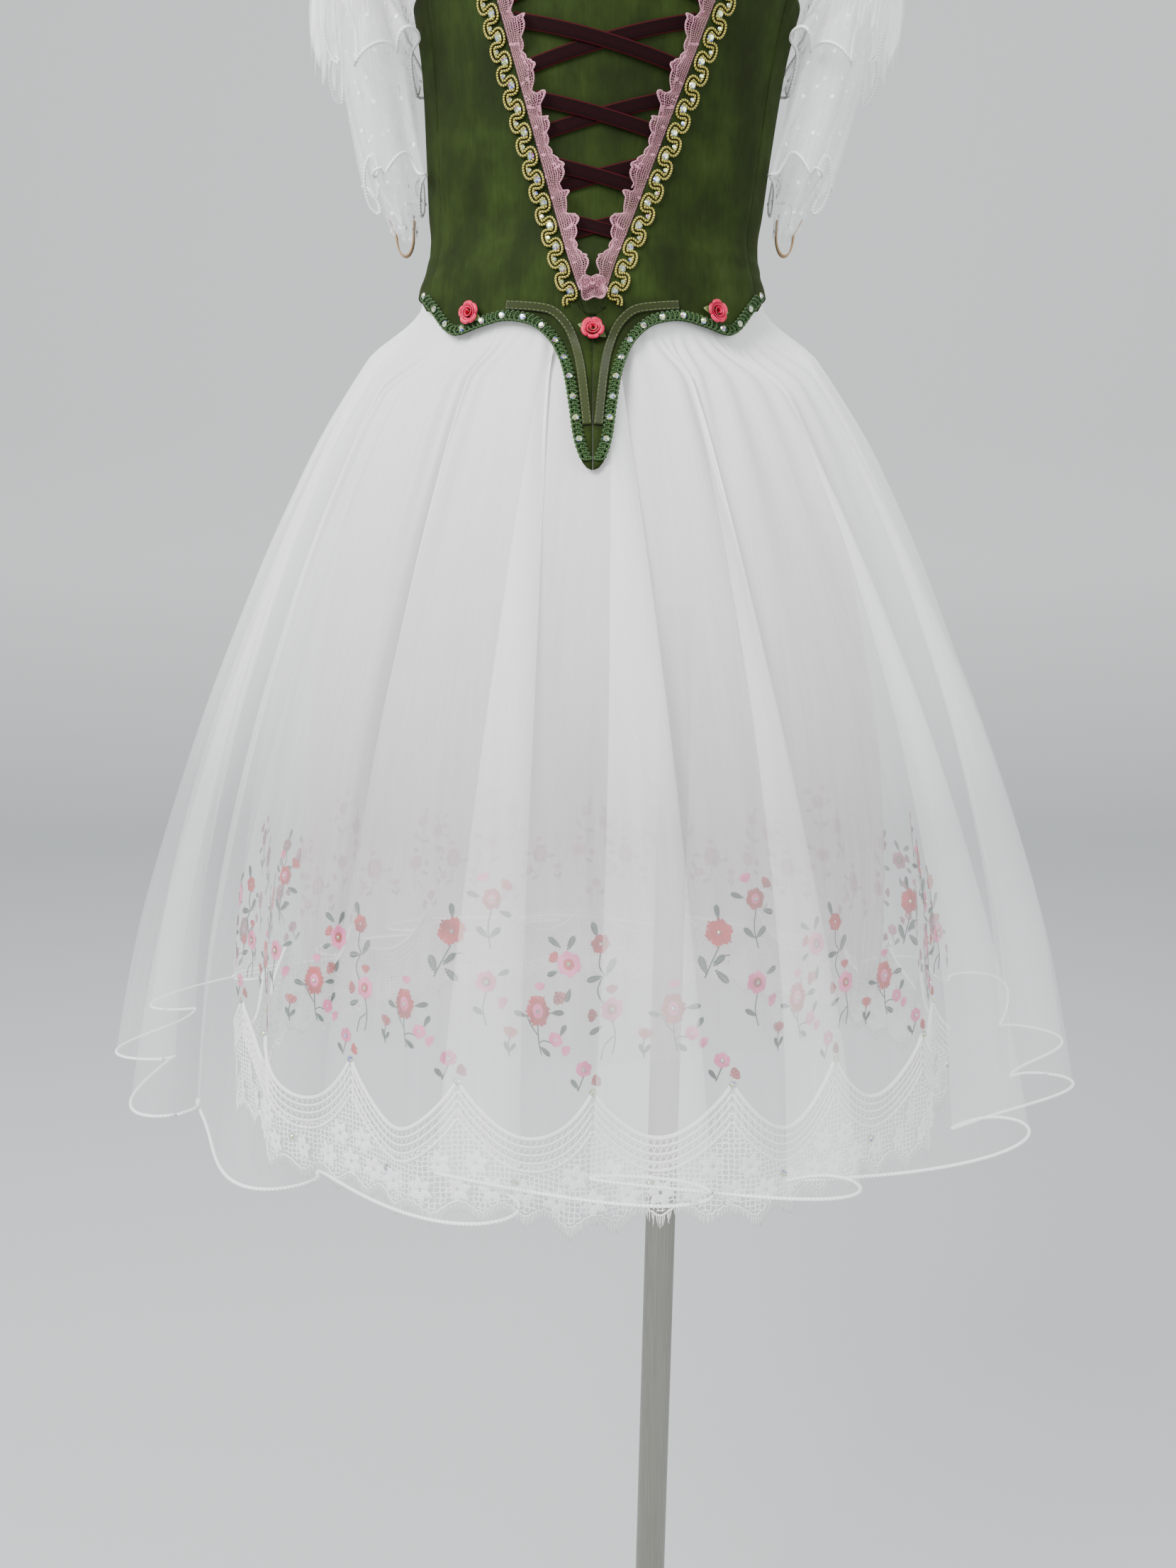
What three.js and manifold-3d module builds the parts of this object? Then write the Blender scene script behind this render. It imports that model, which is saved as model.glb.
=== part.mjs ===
// A ballet dress on a limbless dress form with a steel stand, in millimetres, +Z up.
// The front faces -Y and +X is to the viewer's right. The origin lies on the floor,
// straight under the middle of the waist. The dress is a boned velvet bodice with a
// pointed basque over three sheer skirts, a lace border and two frilled tulle sleeves.
import * as THREE from "three";
import { mergeVertices } from "three/addons/utils/BufferGeometryUtils.js";
import Module from "manifold-3d";

const wasm = await Module();
wasm.setup();

// Driving dimensions
const WAIST_Z = 1250;
const LEAN = 0.055;
const SEAM_GAP = 0.3;
const VELVET = 1.6;
const SHEER = 1.0;
const NET_WALL = 1.0;
const BODICE_EASE = 1.0;
const BASQUE_EASE = 7.9;
const ORGANZA_HEM_Z = 696;
const ORGANZA_FOLDS = 18;
const ORGANZA_COLUMNS = 108;
const ORGANZA_FOLD_DEPTH = 21;
const WAIST_GATHERS = 36;
const GATHER_DEPTH = 1.5;
const TULLE_HEM_Z = 676;
const TULLE_FOLDS = 14;
const TULLE_COLUMNS = 60;
const TULLE_FOLD_DEPTH = 7;
const PETTICOAT_HEM_Z = 735;
const PETTICOAT_FOLDS = 10;
const PETTICOAT_COLUMNS = 32;
const PETTICOAT_FOLD_DEPTH = 5;
const LACE_SCALLOPS = 20;
const LACE_PEAK_Z = 737;
const LACE_VALLEY_Z = 703;
const LACE_HEM_Z = 652;
const LACE_LOBE = 9;
const LACE_GAP_WIDTH = 4.4;
const LACE_GAP_HEIGHT = 6.5;
const LACE_GAP_Z = 670;
const NECK_Z = 1474;
const STRAP_WIDTH = 20;
const STRAP_X = 109.5;
const STRAP_FRONT_Z = 1498;
const STRAP_BACK_Z = 1466;
const V_POINT_Z = 1213;
const V_SLOPE = 0.34;
const V_POINT_HALF = 4;
const BRAID_WIDTH = 13;
const BRAID_PITCH = 15.6;
const BRAID_THICK = 1.8;
const FRILL_WIDTH = 11;
const FRILL_WAVES = 16;
const RIBBON_WIDTH = 9;
const RIBBON_THICK = 1.0;
const RIBBON_CROSSINGS = [1271, 1303, 1340, 1383, 1429];
const RIBBON_SLOPE = 0.26;
const RIBBON_END_INSIDE = 10.5;
const TRIM_LIFT = 0.6;
const GIMP_WIDTH = 7.6;
const GIMP_THICK = 1.8;
const CLOTH_PAST_GIMP = 3.2;
const TAPE_WIDTH = 5.8;
const TAPE_THICK = 1.0;
const ROSE_RADIUS = 8;
const ROSE_HEIGHT = 7;
const POLE_RADIUS = 12;
const POLE_FOOT_X = 44.3;
const POLE_LEAN = 0.0209;
const BASE_RADIUS = 160;
const BASE_HEIGHT = 12;
const SIDE_SEAM_SHARE = 0.9;

// The dress form's level sections, from the neck cap down to the flat underside
const FORM = [
  { z: 1668, side: 36, front: 36, back: 36 },
  { z: 1661, side: 47, front: 47, back: 47 },
  { z: 1642, side: 52, front: 52, back: 52 },
  { z: 1620, side: 58, front: 55, back: 57 },
  { z: 1607, side: 84, front: 58, back: 65 },
  { z: 1596, side: 112, front: 62, back: 72 },
  { z: 1582, side: 134, front: 68, back: 78 },
  { z: 1562, side: 143, front: 76, back: 84 },
  { z: 1530, side: 146, front: 88, back: 90 },
  { z: 1490, side: 143, front: 100, back: 92 },
  { z: 1450, side: 137, front: 106, back: 91 },
  { z: 1396, side: 127, front: 100, back: 87 },
  { z: 1350, side: 122.4, front: 92, back: 84 },
  { z: 1300, side: 118.4, front: 86, back: 80 },
  { z: 1275, side: 115.5, front: 83.5, back: 78 },
  { z: 1262, side: 112, front: 81, back: 76.5 },
  { z: 1246, side: 116.5, front: 83, back: 79 },
  { z: 1213, side: 123, front: 85, back: 84 },
  { z: 1170, side: 136, front: 91, back: 94 },
  { z: 1120, side: 148, front: 96, back: 104 },
  { z: 1060, side: 154, front: 98, back: 108 },
  { z: 1034, side: 152, front: 96, back: 106 },
  { z: 1023, side: 145, front: 90, back: 99 },
  { z: 1020, side: 138, front: 84, back: 92 },
];

// How the skirts lie on each other: their middle's offset from the form at the waist, how far
// inside the organza they hang, at once and for each millimetre below the waist, and how much
// later they swing out
const LAYERS = {
  organza: { offset: 5.5, gap: 0, slope: 0, late: 0 },
  tulle: { offset: 3.7, gap: 3.0, slope: 0.126, late: 0 },
  petticoat: { offset: 1.8, gap: 6.0, slope: 0.212, late: 8 },
};
const SKIRT_UNDER_BASQUE = 15;
const STRAIGHT_DROP = 20;

// How far below the skirts' top edge each row of a wall lies, before its hem
const DROPS = {
  organza: [0, 20, 36, 64, 115, 220, 380],
  tulle: [0, 20, 36, 64, 170, 360],
  petticoat: [0, 20, 36, 64, 260],
};

// The organza skirt's mean level sections, without its folds
const SKIRT = [
  { z: 1262, side: 119, front: 87, back: 84 },
  { z: 1240, side: 129, front: 89, back: 90 },
  { z: 1225, side: 143, front: 91, back: 104 },
  { z: 1205, side: 157, front: 98, back: 120 },
  { z: 1178, side: 175, front: 112, back: 140 },
  { z: 1140, side: 198, front: 136, back: 164 },
  { z: 1106, side: 215, front: 157, back: 184 },
  { z: 1060, side: 236, front: 186, back: 208 },
  { z: 1000, side: 260, front: 220, back: 238 },
  { z: 940, side: 282, front: 250, back: 264 },
  { z: 860, side: 306, front: 284, back: 292 },
  { z: 780, side: 325, front: 312, back: 316 },
  { z: 640, side: 345, front: 344, back: 340 },
];

// The gimp's middle line on the basque, by distance from the centre: the front runs into
// the long point, the back into a short one
const FRONT_EDGE = [
  { x: 0, z: 1108 }, { x: 4, z: 1113 }, { x: 9, z: 1128 }, { x: 12, z: 1149 },
  { x: 15.5, z: 1171 }, { x: 22, z: 1191 }, { x: 31, z: 1204 }, { x: 43, z: 1212 },
  { x: 60, z: 1215 }, { x: 77, z: 1212 }, { x: 93, z: 1208 }, { x: 112, z: 1228 },
  { x: 124, z: 1245 },
];
const BACK_EDGE = [
  { x: 0, z: 1180 }, { x: 7, z: 1184 }, { x: 16, z: 1195 }, { x: 29, z: 1206 },
  { x: 43, z: 1211 }, { x: 60, z: 1213 }, { x: 77, z: 1211 }, { x: 93, z: 1208 },
  { x: 112, z: 1228 }, { x: 124, z: 1245 },
];

// The bias tape beside the centre seam of the point
const TAPE_LINE = [
  { x: 58, z: 1222 }, { x: 30, z: 1218 }, { x: 16, z: 1205 }, { x: 8.5, z: 1180 },
  { x: 3.6, z: 1136 },
];

// One sleeve's rings, from the armhole round the shoulder down to the cuff, for the +X side:
// the ring's end by the body, its end away from the body, and half its depth
const SLEEVE = [
  { inX: 140.6, inZ: 1441, outX: 121.8, outZ: 1595, deep: 58 },
  { inX: 142, inZ: 1435, outX: 153, outZ: 1573, deep: 60 },
  { inX: 143, inZ: 1429, outX: 179, outZ: 1522, deep: 58 },
  { inX: 143, inZ: 1421, outX: 190, outZ: 1463, deep: 55 },
  { inX: 139, inZ: 1398, outX: 185, outZ: 1405, deep: 49 },
  { inX: 134, inZ: 1345, outX: 170, outZ: 1345, deep: 37 },
  { inX: 130, inZ: 1302, outX: 154, outZ: 1302, deep: 22 },
  { inX: 130, inZ: 1286, outX: 146, outZ: 1286, deep: 14 },
];

// The flounces on each sleeve: the rings that they pass, how far the free edge stands off
const FLOUNCES = [
  { name: "upper", rings: [0.5, 1, 2], flare: 8, depth: 3.5 },
  { name: "middle", rings: [2.15, 3, 3.5], flare: 7, depth: 3.5 },
  { name: "lower", rings: [3.65, 4, 4.8], flare: 6, depth: 3.5 },
];
const FLOUNCE_WAVES = 6;

// The heights at which the bodice's wall bends, from the top down
const BODICE_ROWS = [
  1510, 1490, 1450, 1396, 1340, 1298, 1280, 1269, 1258, 1247, 1230, 1213, 1202, 1188, 1172, 1150,
  1125, 1095,
];

const COLOURS = {
  velvet: { color: 0x44581f, roughness: 0.85, metalness: 0 },
  organza: { color: 0xf1f4f3, roughness: 0.5, metalness: 0 },
  tulle: { color: 0xe9ecec, roughness: 0.7, metalness: 0 },
  lace: { color: 0xf6f6f2, roughness: 0.8, metalness: 0 },
  gold_braid: { color: 0xa39a4a, roughness: 0.45, metalness: 0.2 },
  pink_lace: { color: 0xcf93a4, roughness: 0.7, metalness: 0 },
  ribbon: { color: 0x2e080b, roughness: 0.8, metalness: 0 },
  gimp: { color: 0x35602a, roughness: 0.7, metalness: 0 },
  tape: { color: 0x4f6018, roughness: 0.8, metalness: 0 },
  rose: { color: 0xee4562, roughness: 0.4, metalness: 0 },
  elastic: { color: 0xc09a70, roughness: 0.7, metalness: 0 },
  form: { color: 0xe8e4dc, roughness: 0.7, metalness: 0 },
  steel: { color: 0x8c8b84, roughness: 0.3, metalness: 1 },
};

// Working values
const TURN = Math.PI * 2;
const { lerp, clamp } = THREE.MathUtils;
const ease = (t) => THREE.MathUtils.smoothstep(t, 0, 1);
const part = new THREE.Group();

function vec(x, y, z) {
  return new THREE.Vector3(x, y, z);
}

// A column of a table read at any place of its key column, as a smooth curve that never
// overshoots its rows
function column(table, name, at, key = "z") {
  const rows = table[0][key] < table[table.length - 1][key] ? table : [...table].reverse();
  const last = rows.length - 1;
  if (at <= rows[0][key]) return rows[0][name];
  if (at >= rows[last][key]) return rows[last][name];
  const k = rows.findIndex((row) => row[key] > at) - 1;
  const slope = (i) => (rows[i + 1][name] - rows[i][name]) / (rows[i + 1][key] - rows[i][key]);
  const tangent = (i) => {
    if (i === 0) return slope(0);
    if (i === last) return slope(last - 1);
    const before = slope(i - 1);
    const after = slope(i);
    return before * after <= 0 ? 0 : (2 * before * after) / (before + after);
  };
  const step = rows[k + 1][key] - rows[k][key];
  const t = (at - rows[k][key]) / step;
  const a = rows[k][name];
  const b = rows[k + 1][name];
  const h = t * t * (3 - 2 * t);
  return a + (b - a) * h + step * t * (1 - t) * ((1 - t) * tangent(k) - t * tangent(k + 1));
}

// The form leans a little to +X above the waist
function middleX(z) {
  return Math.max(0, z - WAIST_Z) * LEAN;
}

// A point of an egg-shaped level section: angle 0 is the front, a quarter turn is +X
function onSection(section, angle, z, out) {
  const depth = Math.cos(angle) > 0 ? section.front : section.back;
  return vec(
    middleX(z) + (section.side + out) * Math.sin(angle),
    -(depth + out) * Math.cos(angle),
    z,
  );
}

function sectionAt(table, z) {
  return {
    side: column(table, "side", z),
    front: column(table, "front", z),
    back: column(table, "back", z),
  };
}

// Adds a closed mesh to the part under its node name
function addPiece(name, geometry, finish) {
  const bare = geometry.clone();
  bare.deleteAttribute("normal");
  bare.deleteAttribute("uv");
  const merged = mergeVertices(bare, 1e-4);
  merged.computeVertexNormals();
  const mesh = new THREE.Mesh(merged, new THREE.MeshStandardMaterial(COLOURS[finish]));
  mesh.name = name;
  part.add(mesh);
  return mesh;
}

function geometryFrom(points, faces) {
  const geometry = new THREE.BufferGeometry();
  geometry.setAttribute("position", new THREE.Float32BufferAttribute(points.flatMap((p) => p.toArray()), 3));
  geometry.setIndex(faces.flat());
  return geometry;
}

// A wall between an inner and an outer skin. at(u, v, side) gives a point for u along and
// v down from 0 to 1, with side 0 inside and 1 outside. A closed wall joins up around u.
function wall(columns, rows, at, closed) {
  const across = closed ? columns : columns + 1;
  const points = [];
  for (let side = 0; side < 2; side++) {
    for (let j = 0; j <= rows; j++) {
      for (let i = 0; i < across; i++) points.push(at(i / columns, j / rows, side));
    }
  }
  const index = (i, j, side) => side * across * (rows + 1) + j * across + (i % across);
  const faces = [];
  const quad = (a, b, c, d) => faces.push([a, b, c], [a, c, d]);
  for (let j = 0; j < rows; j++) {
    for (let i = 0; i < columns; i++) {
      quad(index(i, j, 1), index(i, j + 1, 1), index(i + 1, j + 1, 1), index(i + 1, j, 1));
      quad(index(i, j, 0), index(i + 1, j, 0), index(i + 1, j + 1, 0), index(i, j + 1, 0));
    }
  }
  for (let i = 0; i < columns; i++) {
    quad(index(i, 0, 0), index(i, 0, 1), index(i + 1, 0, 1), index(i + 1, 0, 0));
    quad(index(i, rows, 1), index(i, rows, 0), index(i + 1, rows, 0), index(i + 1, rows, 1));
  }
  if (!closed) {
    for (let j = 0; j < rows; j++) {
      quad(index(0, j, 1), index(0, j, 0), index(0, j + 1, 0), index(0, j + 1, 1));
      quad(index(columns, j, 0), index(columns, j, 1), index(columns, j + 1, 1), index(columns, j + 1, 0));
    }
  }
  return geometryFrom(points, faces);
}

// A solid stack of level rings with flat ends. at(u, v) gives a point for u around and v down.
function stack(columns, rows, at) {
  const points = [];
  const faces = [];
  const quad = (a, b, c, d) => faces.push([a, b, c], [a, c, d]);
  for (let j = 0; j <= rows; j++) {
    for (let i = 0; i < columns; i++) points.push(at(i / columns, j / rows));
  }
  const index = (i, j) => j * columns + (i % columns);
  for (let j = 0; j < rows; j++) {
    for (let i = 0; i < columns; i++) {
      quad(index(i, j), index(i, j + 1), index(i + 1, j + 1), index(i + 1, j));
    }
  }
  for (const j of [0, rows]) {
    const hub = points.length;
    const ring = points.slice(index(0, j), index(0, j) + columns);
    points.push(ring.reduce((sum, p) => sum.add(p), vec(0, 0, 0)).divideScalar(columns));
    for (let i = 0; i < columns; i++) {
      faces.push(j === 0 ? [hub, index(i, j), index(i + 1, j)] : [hub, index(i + 1, j), index(i, j)]);
    }
  }
  return geometryFrom(points, faces);
}

// A flat band along a path. at(s) gives its middle, the direction across it, the way its
// face looks, and half its width there.
function band(steps, thick, at) {
  const points = [];
  const faces = [];
  const quad = (a, b, c, d) => faces.push([a, b, c], [a, c, d]);
  for (let k = 0; k <= steps; k++) {
    const { middle, across, out, half } = at(k / steps);
    for (const [side, face] of [[-1, -1], [1, -1], [1, 1], [-1, 1]]) {
      points.push(middle.clone().addScaledVector(across, side * half).addScaledVector(out, (face * thick) / 2));
    }
  }
  for (let k = 0; k < steps; k++) {
    for (let i = 0; i < 4; i++) {
      const next = (i + 1) % 4;
      quad(4 * k + i, 4 * (k + 1) + i, 4 * (k + 1) + next, 4 * k + next);
    }
  }
  quad(0, 1, 2, 3);
  const end = 4 * steps;
  quad(end + 3, end + 2, end + 1, end);
  return turnedOut(geometryFrom(points, faces));
}

// Turns a closed mesh's faces outwards if they point in
function turnedOut(geometry) {
  const position = geometry.attributes.position;
  const index = geometry.index.array;
  let volume = 0;
  const [a, b, c] = [vec(0, 0, 0), vec(0, 0, 0), vec(0, 0, 0)];
  for (let k = 0; k < index.length; k += 3) {
    a.fromBufferAttribute(position, index[k]);
    b.fromBufferAttribute(position, index[k + 1]);
    c.fromBufferAttribute(position, index[k + 2]);
    volume += a.dot(b.cross(c));
  }
  if (volume < 0) {
    for (let k = 0; k < index.length; k += 3) [index[k + 1], index[k + 2]] = [index[k + 2], index[k + 1]];
  }
  return geometry;
}

function toSolid(geometry) {
  const bare = geometry.clone();
  bare.deleteAttribute("normal");
  bare.deleteAttribute("uv");
  const merged = mergeVertices(bare, 1e-4);
  return new wasm.Manifold(new wasm.Mesh({
    numProp: 3,
    vertProperties: new Float32Array(merged.attributes.position.array),
    triVerts: new Uint32Array(merged.index.array),
  }));
}

function toGeometry(solid) {
  const mesh = solid.getMesh();
  const geometry = new THREE.BufferGeometry();
  geometry.setAttribute("position", new THREE.Float32BufferAttribute(mesh.vertProperties, 3));
  geometry.setIndex([...mesh.triVerts]);
  return geometry;
}

// A smooth polyline through a table's x and z columns, with points more steps a row
function smoothLine(rows, more) {
  const curve = new THREE.CatmullRomCurve3(rows.map((row) => vec(row.x, 0, row.z)), false, "centripetal");
  return curve.getPoints((rows.length - 1) * more).map((p) => ({ x: p.x, z: p.z }));
}

// The same line moved sideways: to its right hand for a positive distance
function moved(line, distance) {
  return line.map((p, k) => {
    const before = line[Math.max(0, k - 1)];
    const after = line[Math.min(line.length - 1, k + 1)];
    const dx = after.x - before.x;
    const dz = after.z - before.z;
    const length = Math.hypot(dx, dz);
    return { x: p.x + (dz / length) * distance, z: p.z - (dx / length) * distance };
  });
}

// The bodice's own surface at one of its rows: the form's with ease, and below the waist
// clear of the organza skirt that the points lie on
function bodiceRow(z) {
  const form = sectionAt(FORM, Math.max(z, V_POINT_Z));
  const room = BODICE_EASE + (BASQUE_EASE - BODICE_EASE) * (1 - ease((z - 1259) / 20));
  const over = (angle, key) => {
    const proud = foldDepth(angle, z) + gatherDepth(angle, z) + SHEER / 2 + 2.1;
    return z < V_POINT_Z ? organzaFacet(angle, z, key) + proud : 0;
  };
  return {
    side: Math.max(form.side + room, over(0, "side")),
    front: Math.max(form.front + room, over(0, "front")),
    back: Math.max(form.back + room, over(Math.PI, "back")),
  };
}

// The bodice's wall bends only at its rows, so that trims laid on it follow its facets
function bodiceSection(z) {
  const at = clamp(z, BODICE_ROWS[BODICE_ROWS.length - 1], BODICE_ROWS[0]);
  const k = Math.max(1, BODICE_ROWS.findIndex((row) => row <= at));
  const upper = bodiceRow(BODICE_ROWS[k - 1]);
  const lower = bodiceRow(BODICE_ROWS[k]);
  const t = (BODICE_ROWS[k - 1] - at) / (BODICE_ROWS[k - 1] - BODICE_ROWS[k]);
  return {
    side: lerp(upper.side, lower.side, t),
    front: lerp(upper.front, lower.front, t),
    back: lerp(upper.back, lower.back, t),
  };
}

// A point on the bodice, out from its inner face, by distance x from the middle line
function onBodice(x, z, out, back = false) {
  const section = bodiceSection(z);
  const sine = clamp(x / (section.side + out), -1, 1);
  const angle = Math.asin(sine);
  return onSection(section, back ? Math.PI - angle : angle, z, out);
}

function bodiceNormal(x, z, back = false) {
  const step = 0.5;
  const dx = onBodice(x + step, z, 0, back).sub(onBodice(x - step, z, 0, back));
  const dz = onBodice(x, z + step, 0, back).sub(onBodice(x, z - step, 0, back));
  const normal = dx.cross(dz).normalize();
  return back ? normal.negate() : normal;
}

// The wall of the bodice over a range of angles and heights, before a panel is cut from it
function bodiceShell(from, to, low, high, columns) {
  const heights = [high, ...BODICE_ROWS.filter((z) => z < high - 4 && z > low + 4), low];
  const rows = heights.length - 1;
  return toSolid(wall(columns, rows, (u, v, side) => {
    const z = heights[Math.round(v * rows)];
    return onSection(bodiceSection(z), lerp(from, to, u), z, side * VELVET);
  }, false));
}

// A panel: the part of the shell inside an outline drawn from the front, x from the middle line
function cutPanel(shell, outline, back) {
  const reach = 300;
  const shape = new THREE.Shape(outline.map((p) => new THREE.Vector2(p.x + middleX(p.z), p.z)));
  const prism = new THREE.ExtrudeGeometry(shape, { depth: reach * (back === "both" ? 2 : 1), bevelEnabled: false });
  prism.rotateX(Math.PI / 2);
  if (back === true) prism.translate(0, reach, 0);
  if (back === "both") prism.translate(0, reach, 0);
  return toGeometry(shell.intersect(toSolid(turnedOut(mergeVertices(stripped(prism), 1e-4)))));
}

function stripped(geometry) {
  geometry.deleteAttribute("normal");
  geometry.deleteAttribute("uv");
  return geometry;
}

function vHalf(z) {
  return V_POINT_HALF + Math.max(0, z - V_POINT_Z) * V_SLOPE;
}

function seamX(z) {
  return SIDE_SEAM_SHARE * (bodiceSection(z).side + VELVET);
}

function mirrored(line) {
  return line.map((p) => ({ x: -p.x, z: p.z })).reverse();
}

// Form, pole and base
function makeForm() {
  const rows = FORM.length - 1;
  addPiece("form_torso", stack(18, rows, (u, v) => {
    const row = FORM[Math.round(v * rows)];
    return onSection(row, u * TURN, row.z, 0);
  }), "form");
}

function makeStand() {
  const poleX = (z) => POLE_FOOT_X + POLE_LEAN * z;
  const top = FORM[FORM.length - 1].z - SEAM_GAP;
  const foot = BASE_HEIGHT + SEAM_GAP;
  addPiece("pole", stack(16, 1, (u, v) => {
    const z = lerp(top, foot, v);
    return vec(poleX(z) + POLE_RADIUS * Math.sin(u * TURN), -POLE_RADIUS * Math.cos(u * TURN), z);
  }), "steel");
  const profile = [
    new THREE.Vector2(0, 0),
    new THREE.Vector2(BASE_RADIUS, 0),
    new THREE.Vector2(BASE_RADIUS, BASE_HEIGHT - 5),
    new THREE.Vector2(BASE_RADIUS - 5, BASE_HEIGHT - 1),
    new THREE.Vector2(BASE_RADIUS - 14, BASE_HEIGHT),
    new THREE.Vector2(0, BASE_HEIGHT),
  ];
  const disc = new THREE.LatheGeometry(profile, 24);
  disc.rotateX(Math.PI / 2);
  disc.translate(POLE_FOOT_X, 0, 0);
  addPiece("base_disc", turnedOut(mergeVertices(stripped(disc), 1e-4)), "steel");
}

// Bodice panels
function makeBodice() {
  const frontLow = moved(smoothLine(FRONT_EDGE, 1), CLOTH_PAST_GIMP);
  const backLow = moved(smoothLine(BACK_EDGE, 1), CLOTH_PAST_GIMP);
  frontLow[0].x = 0;
  backLow[0].x = 0;
  const gap = SEAM_GAP / 2;
  const seamTop = 1440;
  const seamLow = 1222;
  const seamLine = [seamLow, 1250, 1262, 1290, 1340, 1390, seamTop].map((z) => ({ x: seamX(z), z }));
  const armhole = [{ x: 128, z: 1462 }, { x: 123, z: 1482 }, { x: 121, z: STRAP_FRONT_Z - 2 }];
  const vTop = { x: vHalf(NECK_Z) + gap, z: NECK_Z };
  const vFoot = { x: V_POINT_HALF + gap, z: V_POINT_Z };

  const halfTurn = Math.PI;
  const frontShell = (from, to, low) => bodiceShell(from, to, low, 1510, 6);
  for (const [side, sign] of [["left", -1], ["right", 1]]) {
    const lowIn = frontLow.filter((p) => p.x < seamX(1228) - 1).map((p) => ({ x: Math.max(p.x, gap), z: p.z }));
    const outline = [
      ...lowIn,
      ...seamLine.map((p) => ({ x: p.x - gap, z: p.z })),
      ...armhole,
      { x: 101, z: STRAP_FRONT_Z - 3 },
      vTop, vFoot, { x: gap, z: V_POINT_Z - 1 },
    ];
    const angle = halfTurn * 0.42;
    const shell = sign > 0 ? frontShell(0, angle, 1095) : frontShell(-angle, 0, 1095);
    addPiece(`bodice_front_${side}`, cutPanel(shell, sign > 0 ? outline : mirrored(outline), false), "velvet");

    const sideOutline = [
      { x: seamX(seamLow) + gap, z: seamLow },
      { x: seamX(1226) + 1.5, z: 1226 }, { x: 124, z: 1242 }, { x: 160, z: 1242 },
      { x: 160, z: 1436 }, { x: seamX(seamTop) + gap, z: seamTop },
      ...seamLine.slice(1, -1).reverse().map((p) => ({ x: p.x + gap, z: p.z })),
    ];
    const sideFrom = halfTurn * 0.32;
    const sideShell = sign > 0
      ? bodiceShell(sideFrom, halfTurn - sideFrom, 1215, 1445, 6)
      : bodiceShell(-halfTurn + sideFrom, -sideFrom, 1215, 1445, 6);
    addPiece(`bodice_side_${side}`,
      cutPanel(sideShell, sign > 0 ? sideOutline : mirrored(sideOutline), "both"), "velvet");

    const backLowIn = backLow.filter((p) => p.x < seamX(1228) - 1).map((p) => ({ x: Math.max(p.x, gap), z: p.z }));
    const backOutline = [
      ...backLowIn,
      ...seamLine.map((p) => ({ x: p.x - gap, z: p.z })),
      { x: 124, z: 1452 }, { x: 121, z: STRAP_BACK_Z - 2 }, { x: 101, z: STRAP_BACK_Z - 2 },
      { x: 60, z: 1452 }, { x: gap, z: 1446 },
    ];
    const backShell = sign > 0
      ? bodiceShell(halfTurn - angle, halfTurn, 1165, 1480, 6)
      : bodiceShell(-halfTurn, -halfTurn + angle, 1165, 1480, 6);
    addPiece(`bodice_back_${side}`,
      cutPanel(backShell, sign > 0 ? backOutline : mirrored(backOutline), true), "velvet");
  }

  const plastron = [
    { x: V_POINT_HALF - gap, z: V_POINT_Z + 0.2 },
    { x: vHalf(NECK_Z) - gap, z: NECK_Z },
    { x: 50, z: NECK_Z - 3 },
    { x: 0, z: NECK_Z - 6 },
  ];
  const both = [...plastron, ...mirrored(plastron.slice(0, 3))];
  addPiece("bodice_plastron", cutPanel(bodiceShell(-0.9, 0.9, 1200, 1485, 8), both, false), "velvet");
}

// The straps lie on the form from the front panels over the shoulders to the back panels.
// In the plane at one x the form's outline rises to a crest, and the strap follows it.
function formAt(x, share) {
  let crest = FORM[0].z;
  while (column(FORM, "side", crest) < Math.abs(x) + 0.5) crest -= 0.5;
  const front = share < 0.5;
  const z = lerp(front ? STRAP_FRONT_Z : STRAP_BACK_Z, crest, Math.sin(share * Math.PI));
  const section = sectionAt(FORM, z);
  const depth = front ? section.front : section.back;
  const y = depth * Math.sqrt(Math.max(0, 1 - (x / section.side) ** 2));
  return vec(middleX(z) + x, front ? -y : y, z);
}

function makeStraps() {
  const step = 0.02;
  for (const [side, sign] of [["left", -1], ["right", 1]]) {
    addPiece(`strap_${side}`, turnedOut(wall(2, 12, (u, v, face) => {
      const x = sign * (STRAP_X + (u - 0.5) * STRAP_WIDTH);
      const along = formAt(x, Math.min(1, v + step)).sub(formAt(x, Math.max(0, v - step)));
      const across = formAt(x + 1, v).sub(formAt(x - 1, v));
      const out = across.cross(along).normalize();
      return formAt(x, v).addScaledVector(out, BODICE_EASE + 1.1 + face * VELVET);
    }, false)), "velvet");
  }
}

// Skirts
// The top edge of the skirts, hidden under the basque's lower edge
function skirtTop(angle) {
  const x = Math.abs(Math.sin(angle)) * FRONT_EDGE[FRONT_EDGE.length - 1].x;
  return column(FRONT_EDGE, "z", Math.max(x, 48), "x") + SKIRT_UNDER_BASQUE;
}

// How deep the organza's folds and its waist gathers are at a place
function foldDepth(angle, z) {
  const share = clamp((1262 - z) / (1262 - ORGANZA_HEM_Z), 0, 1);
  return ORGANZA_FOLD_DEPTH * share ** 1.3 * ease((skirtTop(angle) - z - STRAIGHT_DROP) / 40);
}

function gatherDepth(angle, z) {
  const drop = skirtTop(angle) - z;
  return GATHER_DEPTH * ease((drop - STRAIGHT_DROP) / 22) * (1 - ease((drop - 60) / 90));
}

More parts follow.
